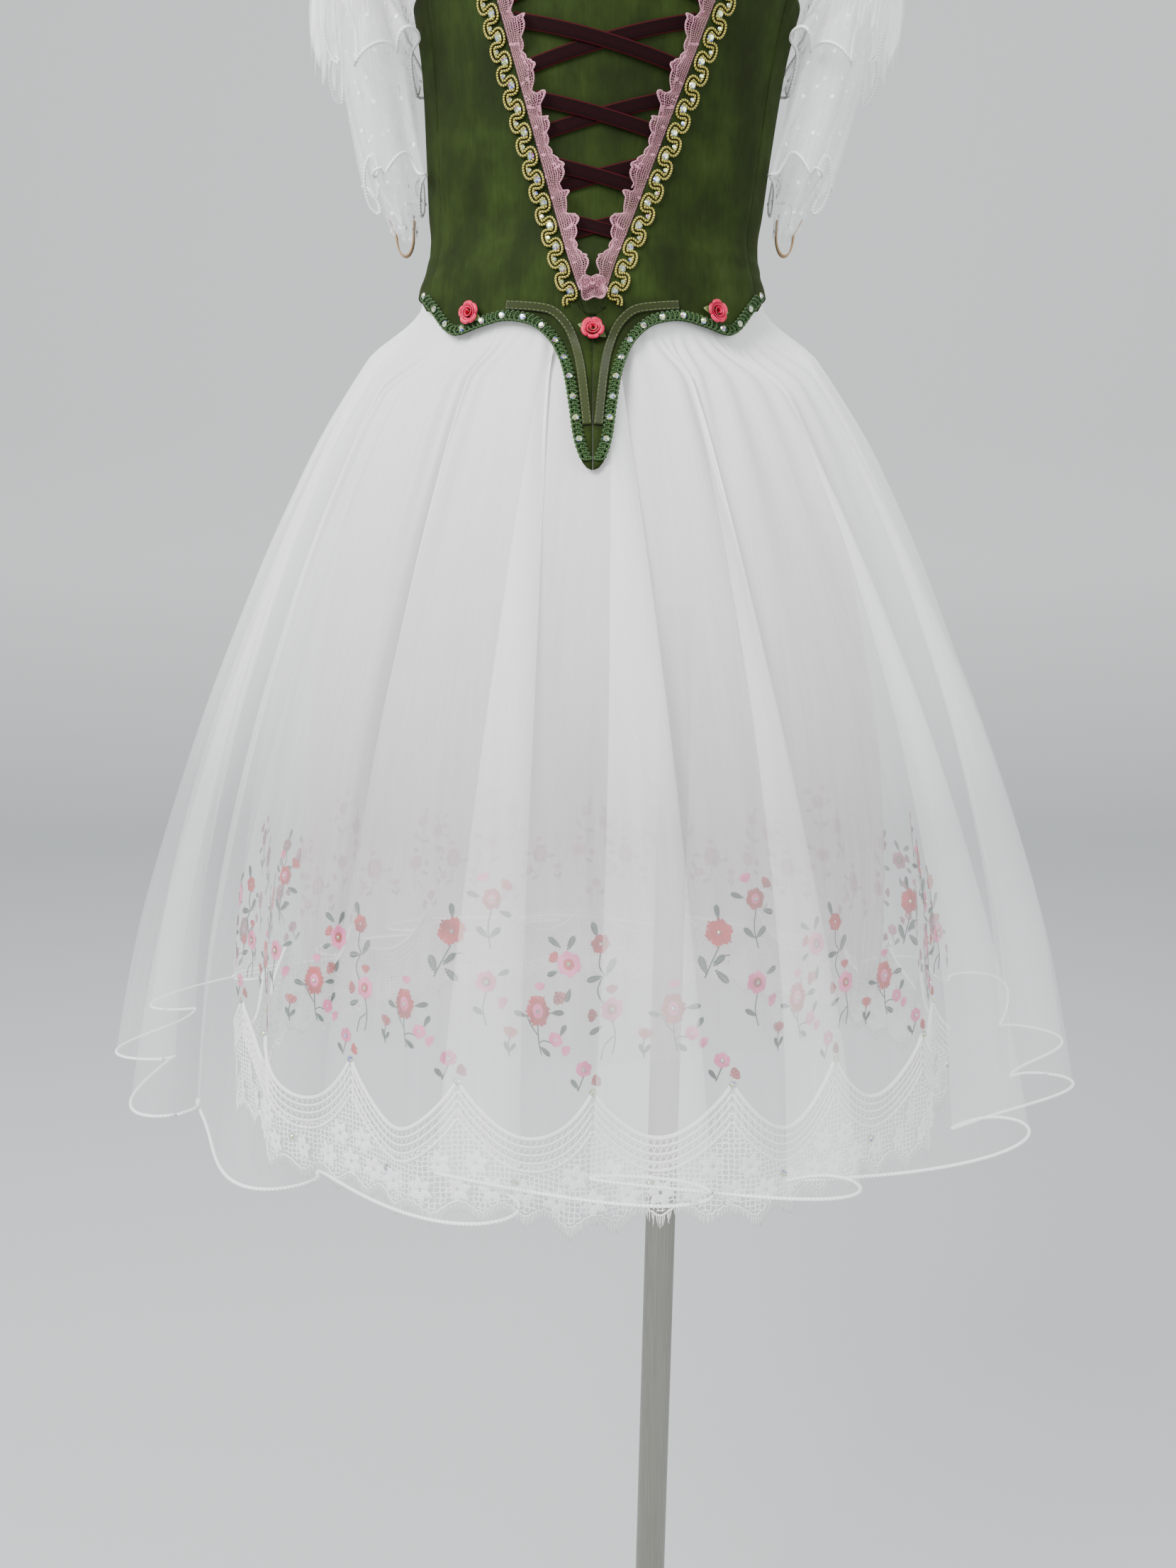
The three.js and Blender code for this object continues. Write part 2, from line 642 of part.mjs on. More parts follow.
// A level section of a skirt at a height, easing from the form's waist to the skirt's own.
// The inner skirts hang further inside the organza the lower they reach.
function skirtSection(angle, z, layer) {
  const { offset, gap, slope, late } = LAYERS[layer];
  const drop = Math.max(0, skirtTop(angle) - z);
  const form = sectionAt(FORM, z);
  const own = sectionAt(SKIRT, z);
  const blend = ease((drop - STRAIGHT_DROP - late) / 40);
  const mix = (key) => {
    const waist = form[key] + offset;
    return lerp(waist, Math.max(own[key] - gap - slope * drop, waist), blend);
  };
  return { side: mix("side"), front: mix("front"), back: mix("back") };
}

// The organza's section between the rows of its wall, where it runs straight
function organzaFacet(angle, z, key) {
  const top = skirtTop(angle);
  const k = clamp(DROPS.organza.findIndex((drop) => drop > top - z), 1, DROPS.organza.length - 1);
  const [from, to] = [DROPS.organza[k - 1], DROPS.organza[k]];
  const at = (drop) => skirtSection(angle, top - drop, "organza")[key];
  return lerp(at(from), at(to), (top - z - from) / (to - from));
}

function skirtPoint(angle, z, layer, extra) {
  return onSection(skirtSection(angle, z, layer), angle, z, extra);
}

// One wave a fold, with broad rounded crests, narrow valleys and uneven widths
function foldWave(angle, folds, unevenness, phase) {
  const turn = folds * angle + unevenness * Math.sin(3 * angle + phase) + 0.8 * unevenness * Math.sin(5 * angle);
  return Math.cos(turn + 0.45 * Math.sin(turn));
}

function makeSkirts() {
  const skirt = (name, layer, columns, hem, finish, shape) => {
    const drops = DROPS[layer];
    const rows = drops.length;
    addPiece(name, wall(columns, rows, (u, v, side) => {
      const angle = u * TURN;
      const row = Math.round(v * rows);
      const z = row < rows ? skirtTop(angle) - drops[row] : hem(angle);
      return skirtPoint(angle, z, layer, shape(angle, z) + (side - 0.5) * SHEER);
    }, true), finish);
  };
  skirt("skirt_organza", "organza", ORGANZA_COLUMNS,
    (angle) => ORGANZA_HEM_Z + 5 * Math.sin(4 * angle + 1) + 4 * Math.cos(7 * angle), "organza",
    (angle, z) => foldDepth(angle, z) * foldWave(angle, ORGANZA_FOLDS, 0.9, 0.4)
      + gatherDepth(angle, z) * Math.cos(WAIST_GATHERS * angle));
  skirt("skirt_tulle_embroidered", "tulle", TULLE_COLUMNS, () => TULLE_HEM_Z, "tulle", tulleWave);
  skirt("petticoat", "petticoat", PETTICOAT_COLUMNS, () => PETTICOAT_HEM_Z, "tulle",
    (angle, z) => PETTICOAT_FOLD_DEPTH * ease((skirtTop(angle) - z) / 500) * foldWave(angle, PETTICOAT_FOLDS, 0.5, 2));
}

function tulleWave(angle, z) {
  return TULLE_FOLD_DEPTH * ease((skirtTop(angle) - z) / 560) * foldWave(angle, TULLE_FOLDS, 0.7, 1.1);
}

// The lace border lies on the embroidered skirt's lower edge, in a front and a back length
function makeLace() {
  const perScallop = 6;
  const half = LACE_SCALLOPS / 2;
  for (const [name, from] of [["lace_border_front", -Math.PI / 2], ["lace_border_back", Math.PI / 2]]) {
    const inset = 0.0006;
    const angleAt = (u) => lerp(from + inset, from + Math.PI - inset, u);
    const topAt = (u) => lerp(LACE_PEAK_Z, LACE_VALLEY_Z, Math.abs(Math.sin(Math.PI * u * half)) ** 0.8);
    const lowAt = (u) => LACE_HEM_Z + LACE_LOBE * Math.abs(Math.cos(Math.PI * u * half * 2)) ** 1.5;
    const column0 = TURN / TULLE_COLUMNS;
    const lacePoint = (u, z, out) => {
      const angle = angleAt(u);
      const near = Math.floor(angle / column0) * column0;
      const place = (a) => skirtPoint(a, z, "tulle", tulleWave(a, z) + SHEER / 2 + TRIM_LIFT + out);
      return place(near).lerp(place(near + column0), (angle - near) / column0);
    };
    let lace = toSolid(wall(half * perScallop, 2, (u, v, side) => {
      const z = lerp(topAt(u), lowAt(u), v);
      return lacePoint(u, z, side * NET_WALL);
    }, false));
    for (let k = 0; k < half; k++) {
      for (const shift of [0.375]) {
        const u = (k + shift) / half;
        const middle = lacePoint(u, LACE_GAP_Z, 0);
        const hole = new THREE.CylinderGeometry(LACE_GAP_WIDTH / 2, LACE_GAP_WIDTH / 2, 24, 4);
        hole.scale(1, 1, LACE_GAP_HEIGHT / LACE_GAP_WIDTH);
        hole.rotateZ(angleAt(u));
        hole.translate(middle.x, middle.y, middle.z);
        lace = lace.subtract(toSolid(turnedOut(mergeVertices(stripped(hole), 1e-4))));
      }
    }
    addPiece(name, toGeometry(lace), "lace");
  }
}

// Sleeves
// A point of a sleeve: ring counts the table's rows down from the armhole, angle 0 is the
// front and a quarter turn the side away from the body
function sleevePoint(sign, angle, ring, out) {
  const k = Math.min(SLEEVE.length - 2, Math.floor(ring));
  const at = (key) => lerp(SLEEVE[k][key], SLEEVE[k + 1][key], ring - k);
  const inner = vec(at("inX"), 0, at("inZ"));
  const outer = vec(at("outX"), 0, at("outZ"));
  const half = inner.distanceTo(outer) / 2;
  const along = ((half + out) * Math.sin(angle)) / half;
  const place = inner.clone().lerp(outer, 0.5 + along / 2);
  return vec(middleX(place.z) + sign * place.x, -(at("deep") + out) * Math.cos(angle), place.z);
}

function makeSleeves() {
  for (const [side, sign] of [["left", -1], ["right", 1]]) {
    const rings = SLEEVE.length - 1;
    addPiece(`sleeve_${side}`, turnedOut(wall(12, rings, (u, v, face) => (
      sleevePoint(sign, u * TURN, v * rings, (face - 0.5) * SHEER)), true)), "tulle");
    for (const { name, rings: passed, flare, depth } of FLOUNCES) {
      const rows = passed.length - 1;
      addPiece(`flounce_${name}_${side}`, turnedOut(wall(FLOUNCE_WAVES * 3, rows, (u, v, face) => {
        const angle = u * TURN;
        const room = 1 - 0.93 * ease(clamp(-Math.sin(angle), 0, 1) * 1.5);
        const wave = depth * Math.cos(FLOUNCE_WAVES * angle) * v;
        const out = SHEER / 2 + TRIM_LIFT + 0.7 + (flare * v + wave) * room + 0.5 * v;
        return sleevePoint(sign, angle, passed[Math.round(v * rows)], out + face * SHEER);
      }, true)), "tulle");
    }
    makeElastic(side, sign);
  }
}

// The arm elastic is a flat loop that hangs out of the cuff from inside its two sides
function makeElastic(side, sign) {
  const cuff = SLEEVE[SLEEVE.length - 1];
  const upper = SLEEVE[SLEEVE.length - 2];
  const legShare = 0.25;
  const legTop = cuff.inZ + 12;
  const sag = 14;
  const clear = SHEER / 2 + 1.5;
  addPiece(`arm_elastic_${side}`, band(12, 1.2, (s) => {
    const left = s < 0.5;
    const t = Math.min(left ? s : 1 - s, legShare) / legShare;
    const z = lerp(legTop, cuff.inZ + 1, t);
    const rise = (z - cuff.inZ) / (upper.inZ - cuff.inZ);
    const inX = lerp(cuff.inX, upper.inX, rise);
    const outX = lerp(cuff.outX, upper.outX, rise);
    const reach = (outX - inX) / 2 - clear;
    const middle = middleX(z) + (sign * (inX + outX)) / 2;
    const turn = clamp((s - legShare) / (1 - 2 * legShare), 0, 1) * Math.PI;
    const out = turn > 0 && turn < Math.PI
      ? vec(-Math.cos(turn), 0, -Math.sin(turn))
      : vec(left ? -1 : 1, 0, 0);
    const x = middle - reach * Math.cos(turn);
    return { middle: vec(x, 0, z - sag * Math.sin(turn)), across: vec(0, 1, 0), out, half: 3 };
  }), "elastic");
}

// Trims on the bodice
// A band laid on the bodice along a line of x and z, with its middle out from the panels' face
function laidBand(name, line, steps, width, thick, lift, finish, back = false) {
  const curve = new THREE.CatmullRomCurve3(line.map((p) => vec(p.x, 0, p.z)), false, "centripetal");
  const place = (s) => {
    const p = curve.getPointAt(clamp(s, 0, 1));
    return onBodice(p.x, p.z, VELVET + lift(s) + thick / 2, back);
  };
  addPiece(name, band(steps, thick, (s) => {
    const p = curve.getPointAt(s);
    const out = bodiceNormal(p.x, p.z, back);
    const along = place(s + 0.01).sub(place(s - 0.01)).normalize();
    return { middle: place(s), across: along.cross(out).normalize(), out, half: width(s) / 2 };
  }), finish);
}

function makeBraids() {
  const top = NECK_Z - 2;
  const low = V_POINT_Z + 14;
  const length = (top - low) * Math.hypot(1, V_SLOPE);
  for (const [side, sign] of [["left", -1], ["right", 1]]) {
    const out = BRAID_WIDTH / 2 + 0.6;
    const line = [0, 0.33, 0.66, 1].map((t) => {
      const z = lerp(low, top, t);
      return { x: sign * (vHalf(z) + out), z };
    });
    const loops = Math.round(length / BRAID_PITCH);
    laidBand(`gold_braid_${side}`, line, loops * 2,
      (s) => BRAID_WIDTH + 1.4 * Math.cos(s * loops * TURN) - 1, BRAID_THICK, () => TRIM_LIFT, "gold_braid");
    makeFrill(side, sign, low, top);
  }
}

// The pink lace frill stands off the plastron inside each braid, its free edge in waves
function makeFrill(side, sign, low, top) {
  const root = 1.0;
  const start = low + 6;
  addPiece(`lace_frill_${side}`, band(FRILL_WAVES * 2, 1, (s) => {
    const z = lerp(start, top - 2, s);
    const taper = Math.min(1, (vHalf(z) - 0.6) / (FRILL_WIDTH * 1.1));
    const width = FRILL_WIDTH * taper;
    const wave = Math.cos(s * FRILL_WAVES * TURN);
    const near = onBodice(sign * (vHalf(z) - 0.8), z, VELVET + root + 0.8);
    const far = onBodice(sign * (vHalf(z) - 0.8 - width), z, VELVET + root + 5.2 + 1.2 * wave);
    const across = far.clone().sub(near);
    const half = across.length() / 2;
    across.normalize();
    const up = vec(0, 0, 1);
    const out = across.clone().cross(up).multiplyScalar(sign).normalize();
    return { middle: near.clone().add(far).multiplyScalar(0.5), across, out, half };
  }), "pink_lace");
}

// Each crossing has an under ribbon laid on the plastron and an over ribbon above it. Both
// end under the frills.
function makeRibbons() {
  RIBBON_CROSSINGS.forEach((crossing, k) => {
    for (const [layer, slope, lift] of [["under", 1, TRIM_LIFT + 0.1], ["over", -1, TRIM_LIFT + 1.5]]) {
      const line = [-1, -0.5, 0, 0.5, 1].map((share) => {
        const along = 1 - Math.sign(share) * slope * RIBBON_SLOPE * V_SLOPE;
        const x = (share * (vHalf(crossing) - RIBBON_END_INSIDE)) / along;
        return { x, z: crossing + slope * RIBBON_SLOPE * x };
      });
      const width = Math.min(RIBBON_WIDTH, vHalf(crossing) * 0.36);
      laidBand(`ribbon_${k + 1}_${layer}`, line, k < 3 ? 3 : 6, () => width, RIBBON_THICK, () => lift, "ribbon");
    }
  });
}

// The gimp follows the basque's lower edge, round the sides too
function makeGimp() {
  for (const [side, sign] of [["left", -1], ["right", 1]]) {
    for (const [face, rows, back] of [["front", FRONT_EDGE, false], ["back", BACK_EDGE, true]]) {
      const path = smoothLine(rows, 2);
      const start = path.findIndex((p) => p.x > GIMP_WIDTH * 0.55 + 0.3);
      const tail = path.slice(start).filter((p) => p.x < 119);
      const place = (s, lift) => {
        const f = clamp(s, 0, 1) * (tail.length - 1);
        const i = Math.min(tail.length - 2, Math.floor(f));
        const x = lerp(tail[i].x, tail[i + 1].x, f - i);
        const z = lerp(tail[i].z, tail[i + 1].z, f - i);
        return { x, z, point: onBodice(sign * x, z, VELVET + TRIM_LIFT + 0.6 + GIMP_THICK / 2 + lift, back) };
      };
      addPiece(`gimp_${face}_${side}`, band(tail.length - 1, GIMP_THICK, (s) => {
        const here = place(s, 0);
        const out = bodiceNormal(sign * here.x, here.z, back);
        const along = place(s + 0.02, 0).point.sub(place(s - 0.02, 0).point).normalize();
        return {
          middle: here.point, across: along.cross(out).normalize(), out,
          half: GIMP_WIDTH / 2 - 0.3,
        };
      }), "gimp");
    }
    const line = TAPE_LINE.map((p) => ({ x: sign * p.x, z: p.z }));
    laidBand(`bias_tape_${side}`, line, 12, (s) => TAPE_WIDTH * (s > 0.8 ? 0.9 : 1), TAPE_THICK,
      () => TRIM_LIFT, "tape");
  }
}

// A ribbon rose: a round dome of five bulging petals over two flat leaves
function makeRoses() {
  const places = [["left", -83, 1218, 2.3], ["middle", 0, 1203, 0.95], ["right", 84, 1219, 1.1]];
  for (const [name, x, z, lift] of places) {
    const out = bodiceNormal(x, z);
    const foot = onBodice(x, z, VELVET + TRIM_LIFT + GIMP_THICK + lift);
    const dome = stack(10, 3, (u, v) => {
      const radius = ROSE_RADIUS * [0.3, 0.85, 1, 0.7][Math.round(v * 3)];
      const bulge = 1 + 0.08 * Math.cos(5 * u * TURN + v * 4);
      const height = ROSE_HEIGHT * [1, 0.8, 0.35, 0][Math.round(v * 3)];
      return vec(radius * bulge * Math.sin(u * TURN), -radius * bulge * Math.cos(u * TURN), height);
    });
    let rose = toSolid(turnedOut(dome));
    for (const turn of [0.5, Math.PI + 0.2]) {
      const leaf = new THREE.CylinderGeometry(5.5, 5.5, 1.2, 6);
      leaf.rotateX(Math.PI / 2);
      leaf.scale(1, 0.5, 1);
      leaf.translate(9, 0, 0.7);
      leaf.rotateZ(turn);
      rose = rose.add(toSolid(turnedOut(mergeVertices(stripped(leaf), 1e-4))));
    }
    const geometry = toGeometry(rose);
    const turnTo = new THREE.Quaternion().setFromUnitVectors(vec(0, 0, 1), out);
    geometry.applyQuaternion(turnTo);
    geometry.translate(foot.x, foot.y, foot.z);
    addPiece(`rose_${name}`, geometry, "rose");
  }
}

makeForm();
makeStand();
makeBodice();
makeStraps();
makeSkirts();
makeLace();
makeSleeves();
makeBraids();
makeRibbons();
makeGimp();
makeRoses();

export default part;
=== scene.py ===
"""A ballet dress on its dress form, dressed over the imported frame, in metres, +Z up.

The tables are in millimetres. A shape is worked out as whole numpy arrays in millimetres and
turned to metres where its mesh is made. The front faces -Y.
"""

import bpy
import numpy as np
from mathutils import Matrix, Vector


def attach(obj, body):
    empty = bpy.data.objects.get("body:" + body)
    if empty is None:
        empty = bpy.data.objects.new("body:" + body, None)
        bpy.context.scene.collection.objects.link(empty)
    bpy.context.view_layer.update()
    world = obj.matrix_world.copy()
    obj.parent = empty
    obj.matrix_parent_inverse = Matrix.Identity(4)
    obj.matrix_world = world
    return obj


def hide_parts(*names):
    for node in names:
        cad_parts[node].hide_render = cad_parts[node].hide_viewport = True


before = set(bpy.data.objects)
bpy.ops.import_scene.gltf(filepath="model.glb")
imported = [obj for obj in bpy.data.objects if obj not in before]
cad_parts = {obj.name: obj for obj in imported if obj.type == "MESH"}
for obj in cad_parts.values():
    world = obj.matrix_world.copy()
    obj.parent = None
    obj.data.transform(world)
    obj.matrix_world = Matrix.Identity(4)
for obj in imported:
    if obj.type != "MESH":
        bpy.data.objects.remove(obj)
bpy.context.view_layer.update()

bl_info = {
    "name": "Ballet dress on a dress form",
    "version": (1, 0, 0),
    "blender": (4, 5, 0),
    "location": "View3D > Sidebar > Dress",
    "description": "Makes the cloth, trims and stand of a long ballet dress over its CAD frame",
    "category": "Add Mesh",
}

TURN = 2 * np.pi
LEAN = 0.055
WAIST_Z = 1250.0
V_POINT_Z = 1213.0
V_SLOPE = 0.34
V_POINT_HALF = 4.0
NECK_Z = 1474.0
VELVET = 1.6
STRAIGHT_DROP = 20.0
ORGANZA_FOLDS = 18
TULLE_FOLDS = 14
LACE_SCALLOPS = 20
LACE_PEAK_Z = 737.0
LACE_VALLEY_Z = 703.0
LACE_HEM_Z = 655.0
TULLE_HEM_Z = 676
SIDE_TOP_Z = 1437
BACK_NECK_Z = 1446
SIDES = (("left", -1), ("right", 1))

# The tulle skirt's radius where the embroidery and the lace are laid out
STITCH_RADIUS = 268.0
# The organza's folds at the hem, for the room that the bodice leaves them
FOLD_DEPTH = 21
# The velvet's inner face off the form's ease, half the gap at a seam, where the side seams run
# as a share of the half width, and how far the velvet goes below the gimp's middle line
INSIDE = 0.1
SEAM_GAP = 0.15
SEAM_SINE = 0.9
GIMP_BELOW = 3.2
# Rows of a sheet's points from dot to dot, and a dot's radius
DOT_ROWS = 5
DOT_RADIUS = 1.5
# The radii of the cords, half the distance of the braid's two and a step of the gimp's loops
BRAID_CORD = 0.85
BRAID_CORD_GAP = 1.25
GIMP_CORD = 0.74
GIMP_STEP = 3.3
# How much a ribbon rises for each millimetre across
RIBBON_SLOPE = 0.26
POLE_FOOT_X = 44.3
POLE_LEAN = 0.0209
POLE_RADIUS = 12.0

# Level sections of the dress form: height, half width, front depth, back depth
FORM = np.array([
    (1668, 36, 36, 36), (1661, 47, 47, 47), (1642, 52, 52, 52), (1620, 58, 55, 57),
    (1607, 84, 58, 65), (1596, 112, 62, 72), (1582, 134, 68, 78), (1562, 143, 76, 84),
    (1530, 146, 88, 90), (1490, 143, 100, 92), (1450, 137, 106, 91), (1396, 127, 100, 87),
    (1350, 122.4, 92, 84), (1300, 118.4, 86, 80), (1275, 115.5, 83.5, 78), (1262, 112, 81, 76.5),
    (1246, 116.5, 83, 79), (1213, 123, 85, 84), (1170, 136, 91, 94), (1120, 148, 96, 104),
    (1060, 154, 98, 108), (1034, 152, 96, 106), (1023, 145, 90, 99), (1020, 138, 84, 92),
], float)

# Level sections of the organza skirt without its folds, in the same columns
SKIRT = np.array([
    (1262, 119, 87, 84), (1240, 129, 89, 90), (1225, 143, 91, 104), (1205, 157, 98, 120),
    (1178, 175, 112, 140), (1140, 198, 136, 164), (1106, 215, 157, 184), (1060, 236, 186, 208),
    (1000, 260, 220, 238), (940, 282, 250, 264), (860, 306, 284, 292), (780, 325, 312, 316),
    (640, 345, 344, 340),
], float)

# The skirts' offset from the form at the waist, how far inside the organza they hang, how much
# more for each millimetre below the waist, and how much later they swing out
LAYERS = {
    "organza": (5.5, 0.0, 0.0, 0.0),
    "tulle": (3.7, 3.0, 0.126, 0.0),
    "petticoat": (1.8, 6.0, 0.212, 8.0),
}

# The basque's lower edge by distance from the centre: the gimp's middle line
FRONT_EDGE = np.array([
    (0, 1108), (4, 1113), (9, 1128), (12, 1149), (15.5, 1171), (22, 1191), (31, 1204), (43, 1212),
    (60, 1215), (77, 1212), (93, 1208), (112, 1228), (124, 1245),
], float)
BACK_EDGE = np.array([
    (0, 1180), (7, 1184), (16, 1195), (29, 1206), (43, 1211), (60, 1213), (77, 1211), (93, 1208),
    (112, 1228), (124, 1245),
], float)
TAPE_LINE = np.array([(58, 1222), (30, 1218), (16, 1205), (8.5, 1180), (3.6, 1136)], float)
BODICE_ROWS = np.array([
    1510, 1490, 1450, 1396, 1340, 1298, 1280, 1269, 1258, 1247, 1230, 1213, 1202, 1188, 1172,
    1150, 1125, 1095,
], float)

# Rings of the right sleeve from the armhole down: the end by the body, x and z, the end away
# from the body, x and z, and half the depth
SLEEVE = np.array([
    (140.6, 1441, 121.8, 1595, 58), (142, 1435, 153, 1573, 60), (143, 1429, 179, 1522, 58),
    (143, 1421, 190, 1463, 55), (139, 1398, 185, 1405, 49), (134, 1345, 170, 1345, 37),
    (130, 1302, 154, 1302, 22), (130, 1286, 146, 1286, 14),
], float)


# Numbers and curves
def smooth(xs, ys, at):
    """A curve through the points that never overshoots: on each span a cubic whose end slopes
    are the harmonic means of the neighbouring slopes, or 0 where these change sign."""
    xs, ys, at = (np.asarray(v, float) for v in (xs, ys, at))
    if xs[0] > xs[-1]:
        xs, ys = xs[::-1], ys[::-1]
    step = np.diff(xs)
    slope = np.diff(ys) / step
    both = slope[:-1] * slope[1:]
    total = np.where(both > 0, slope[:-1] + slope[1:], 1)
    tangent = np.concatenate([slope[:1], np.where(both > 0, 2 * both / total, 0), slope[-1:]])
    at = np.clip(at, xs[0], xs[-1])
    k = np.clip(np.searchsorted(xs, at, side="right") - 1, 0, len(step) - 1)
    t = (at - xs[k]) / step[k]
    rise = ys[k] + (ys[k + 1] - ys[k]) * t * t * (3 - 2 * t)
    return rise + step[k] * t * (1 - t) * ((1 - t) * tangent[k] - t * tangent[k + 1])


def ease(t):
    """Rises smoothly from 0 to 1 as t goes from 0 to 1."""
    t = np.clip(t, 0, 1)
    return t * t * (3 - 2 * t)


def stacked(*columns):
    """Arrays of any shapes that fit together, as the last axis of one array."""
    return np.stack(np.broadcast_arrays(*columns), axis=-1)


def full_turn(count):
    """count equal steps of a full turn, without the last."""
    return np.linspace(0, TURN, count, endpoint=False)


def unit(v):
    """Vectors divided by their lengths."""
    return v / np.maximum(np.linalg.norm(v, axis=-1, keepdims=True), 1e-9)


def resampled(line, count):
    """count points at equal distances along a polyline of any number of columns."""
    line = np.asarray(line, float)
    run = np.concatenate([[0], np.cumsum(np.linalg.norm(np.diff(line, axis=0), axis=1))])
    at = np.linspace(0, run[-1], count)
    return np.stack([np.interp(at, run, line[:, c]) for c in range(line.shape[1])], axis=1)


def rounded(line, count):
    """A smooth curve through the points of a line, as count points at equal distances."""
    line = np.asarray(line, float)
    run = np.concatenate([[0], np.cumsum(np.linalg.norm(np.diff(line, axis=0), axis=1))])
    fine = np.linspace(0, run[-1], 12 * len(line))
    curve = [smooth(run, line[:, c], fine) for c in range(line.shape[1])]
    return resampled(np.stack(curve, axis=1), count)


# The body's and the cloth's surfaces
def middle_x(z):
    """The form leans to +X above the waist: the shift grows with the height over it."""
    return np.maximum(0, z - WAIST_Z) * LEAN


def sections(table, z):
    """Half width, front depth and back depth from a table of level sections, at heights."""
    return tuple(smooth(table[:, 0], table[:, c], z) for c in (1, 2, 3))


def on_section(section, angle, z, out):
    """A point of an egg-shaped level section: x = (side + out) sin, y = -(depth + out) cos, with
    the front depth ahead and the back depth behind. Angle 0 is the front, a quarter turn +X."""
    side, front, back = section
    depth = np.where(np.cos(angle) > 0, front, back)
    x = middle_x(z) + (side + out) * np.sin(angle)
    return stacked(x, -(depth + out) * np.cos(angle), z + 0 * angle)


def skirt_top(angle):
    """The skirts start 15 mm above the basque's lower edge, and level across the middle point."""
    x = np.abs(np.sin(angle)) * 124
    return smooth(FRONT_EDGE[:, 0], FRONT_EDGE[:, 1], np.maximum(x, 48)) + 15


def skirt_section(angle, z, layer):
    """Eases from the form's waist to the skirt's own sections over 40 mm below the basque."""
    offset, gap, slope, late = LAYERS[layer]
    drop = np.maximum(0, skirt_top(angle) - z)
    blend = ease((drop - STRAIGHT_DROP - late) / 40)
    waist = [f + offset for f in sections(FORM, z)]
    own = [s - gap - slope * drop for s in sections(SKIRT, z)]
    return tuple(w + (np.maximum(o, w) - w) * blend for w, o in zip(waist, own))


def fold_turn(angle, folds, unevenness, phase):
    """How far the folds have turned at an angle: uneven by a wave of 3 and one of 5 to a round."""
    uneven = np.sin(3 * angle + phase) + 0.8 * np.sin(5 * angle)
    return folds * angle + unevenness * uneven


def fold_wave(turn):
    """A fold's height, from -1 to 1: a cosine whose crests are narrower than its valleys."""
    return np.cos(turn + 0.45 * np.sin(turn))


def organza_fold_depth(angle, z):
    """Nothing at the waist, then the height below it to the power 1.3, up to the full depth."""
    share = np.clip((1262 - z) / (1262 - 696), 0, 1)
    return FOLD_DEPTH * share ** 1.3 * ease((skirt_top(angle) - z - STRAIGHT_DROP) / 40)


def organza_gather_depth(angle, z):
    """The small gathers rise to 1.5 mm below the basque and fade out by 150 mm below it."""
    drop = skirt_top(angle) - z
    return 1.5 * ease((drop - STRAIGHT_DROP) / 22) * (1 - ease((drop - 60) / 90))


def tulle_point(angle, z, out):
    """The embroidered skirt: its section with 14 soft waves that deepen to 7 mm at the hem."""
    wave = 7 * ease((skirt_top(angle) - z) / 560)
    wave = wave * fold_wave(fold_turn(angle, TULLE_FOLDS, 0.7, 1.1))
    return on_section(skirt_section(angle, z, "tulle"), angle, z, wave + out)


def bodice_rows():
    """The bodice's half width, front and back depth at its rows: the form's with ease, and below
    the waist clear of the organza's folds."""
    z = BODICE_ROWS
    form = sections(FORM, np.maximum(z, V_POINT_Z))
    room = 1.0 + 6.9 * (1 - ease((z - 1259) / 20))
    below = z < V_POINT_Z
    out = []
    for body, angle, key in zip(form, (0.0, 0.0, np.pi), (0, 1, 2)):
        turn = np.full_like(z, angle)
        proud = organza_fold_depth(turn, z) + organza_gather_depth(turn, z) + 2.9
        over = np.where(below, skirt_section(turn, z, "organza")[key] + proud, 0)
        out.append(np.maximum(body + room, over))
    return out


BODICE = bodice_rows()


def bodice_section(z):
    """The bodice's half width, front depth and back depth at heights."""
    return tuple(smooth(BODICE_ROWS, column, z) for column in BODICE)


def creases(x, z):
    """Soft level creases where the velvet rides up above the waist, and a faint ripple."""
    low = np.exp(-((z - 1262) / 14) ** 2)
    lines = 0.55 * np.sin(z / 2.6 + 0.9 * np.sin(x / 31)) + 0.3 * np.sin(z / 1.7 + x / 45)
    broad = 0.5 * np.sin(x / 19 + 1.3 * np.sin(z / 47)) * np.exp(-((z - 1330) / 80) ** 2)
    return low * lines * 0.8 + broad


def on_bodice(x, z, out, back=False):
    """The bodice's inner face moved out, at distance x from the middle line."""
    section = bodice_section(z)
    angle = np.arcsin(np.clip(x / (section[0] + out), -1, 1))
    return on_section(section, np.where(back, np.pi - angle, angle), z, out)


def bodice_normal(x, z, back=False):
    """The direction square to the bodice: the cross product of its two slopes over 1 mm."""
    dx = on_bodice(x + 0.5, z, 0, back) - on_bodice(x - 0.5, z, 0, back)
    dz = on_bodice(x, z + 0.5, 0, back) - on_bodice(x, z - 0.5, 0, back)
    normal = unit(np.cross(dx, dz))
    return -normal if back else normal


def v_half(z):
    """Half the V's width, which grows in a straight line above its foot."""
    return V_POINT_HALF + np.maximum(0, z - V_POINT_Z) * V_SLOPE


def seam_x(z):
    """The side seams' distance from the middle: a set share of the bodice's half width."""
    return SEAM_SINE * (bodice_section(z)[0] + VELVET)


def sleeve_point(sign, angle, ring, out):
    """A ring runs from its end by the body to its end away from it and is an ellipse of the
    given depth. Angle 0 is the front, a quarter turn the side away from the body."""
    rows = np.arange(len(SLEEVE))
    in_x, in_z, out_x, out_z, deep = (smooth(rows, SLEEVE[:, c], ring) for c in range(5))
    half = np.hypot(out_x - in_x, out_z - in_z) / 2
    share = 0.5 + (half + out) * np.sin(angle) / half / 2
    x = in_x + (out_x - in_x) * share
    z = in_z + (out_z - in_z) * share
    return stacked(middle_x(z) + sign * x, -(deep + out) * np.cos(angle), z)


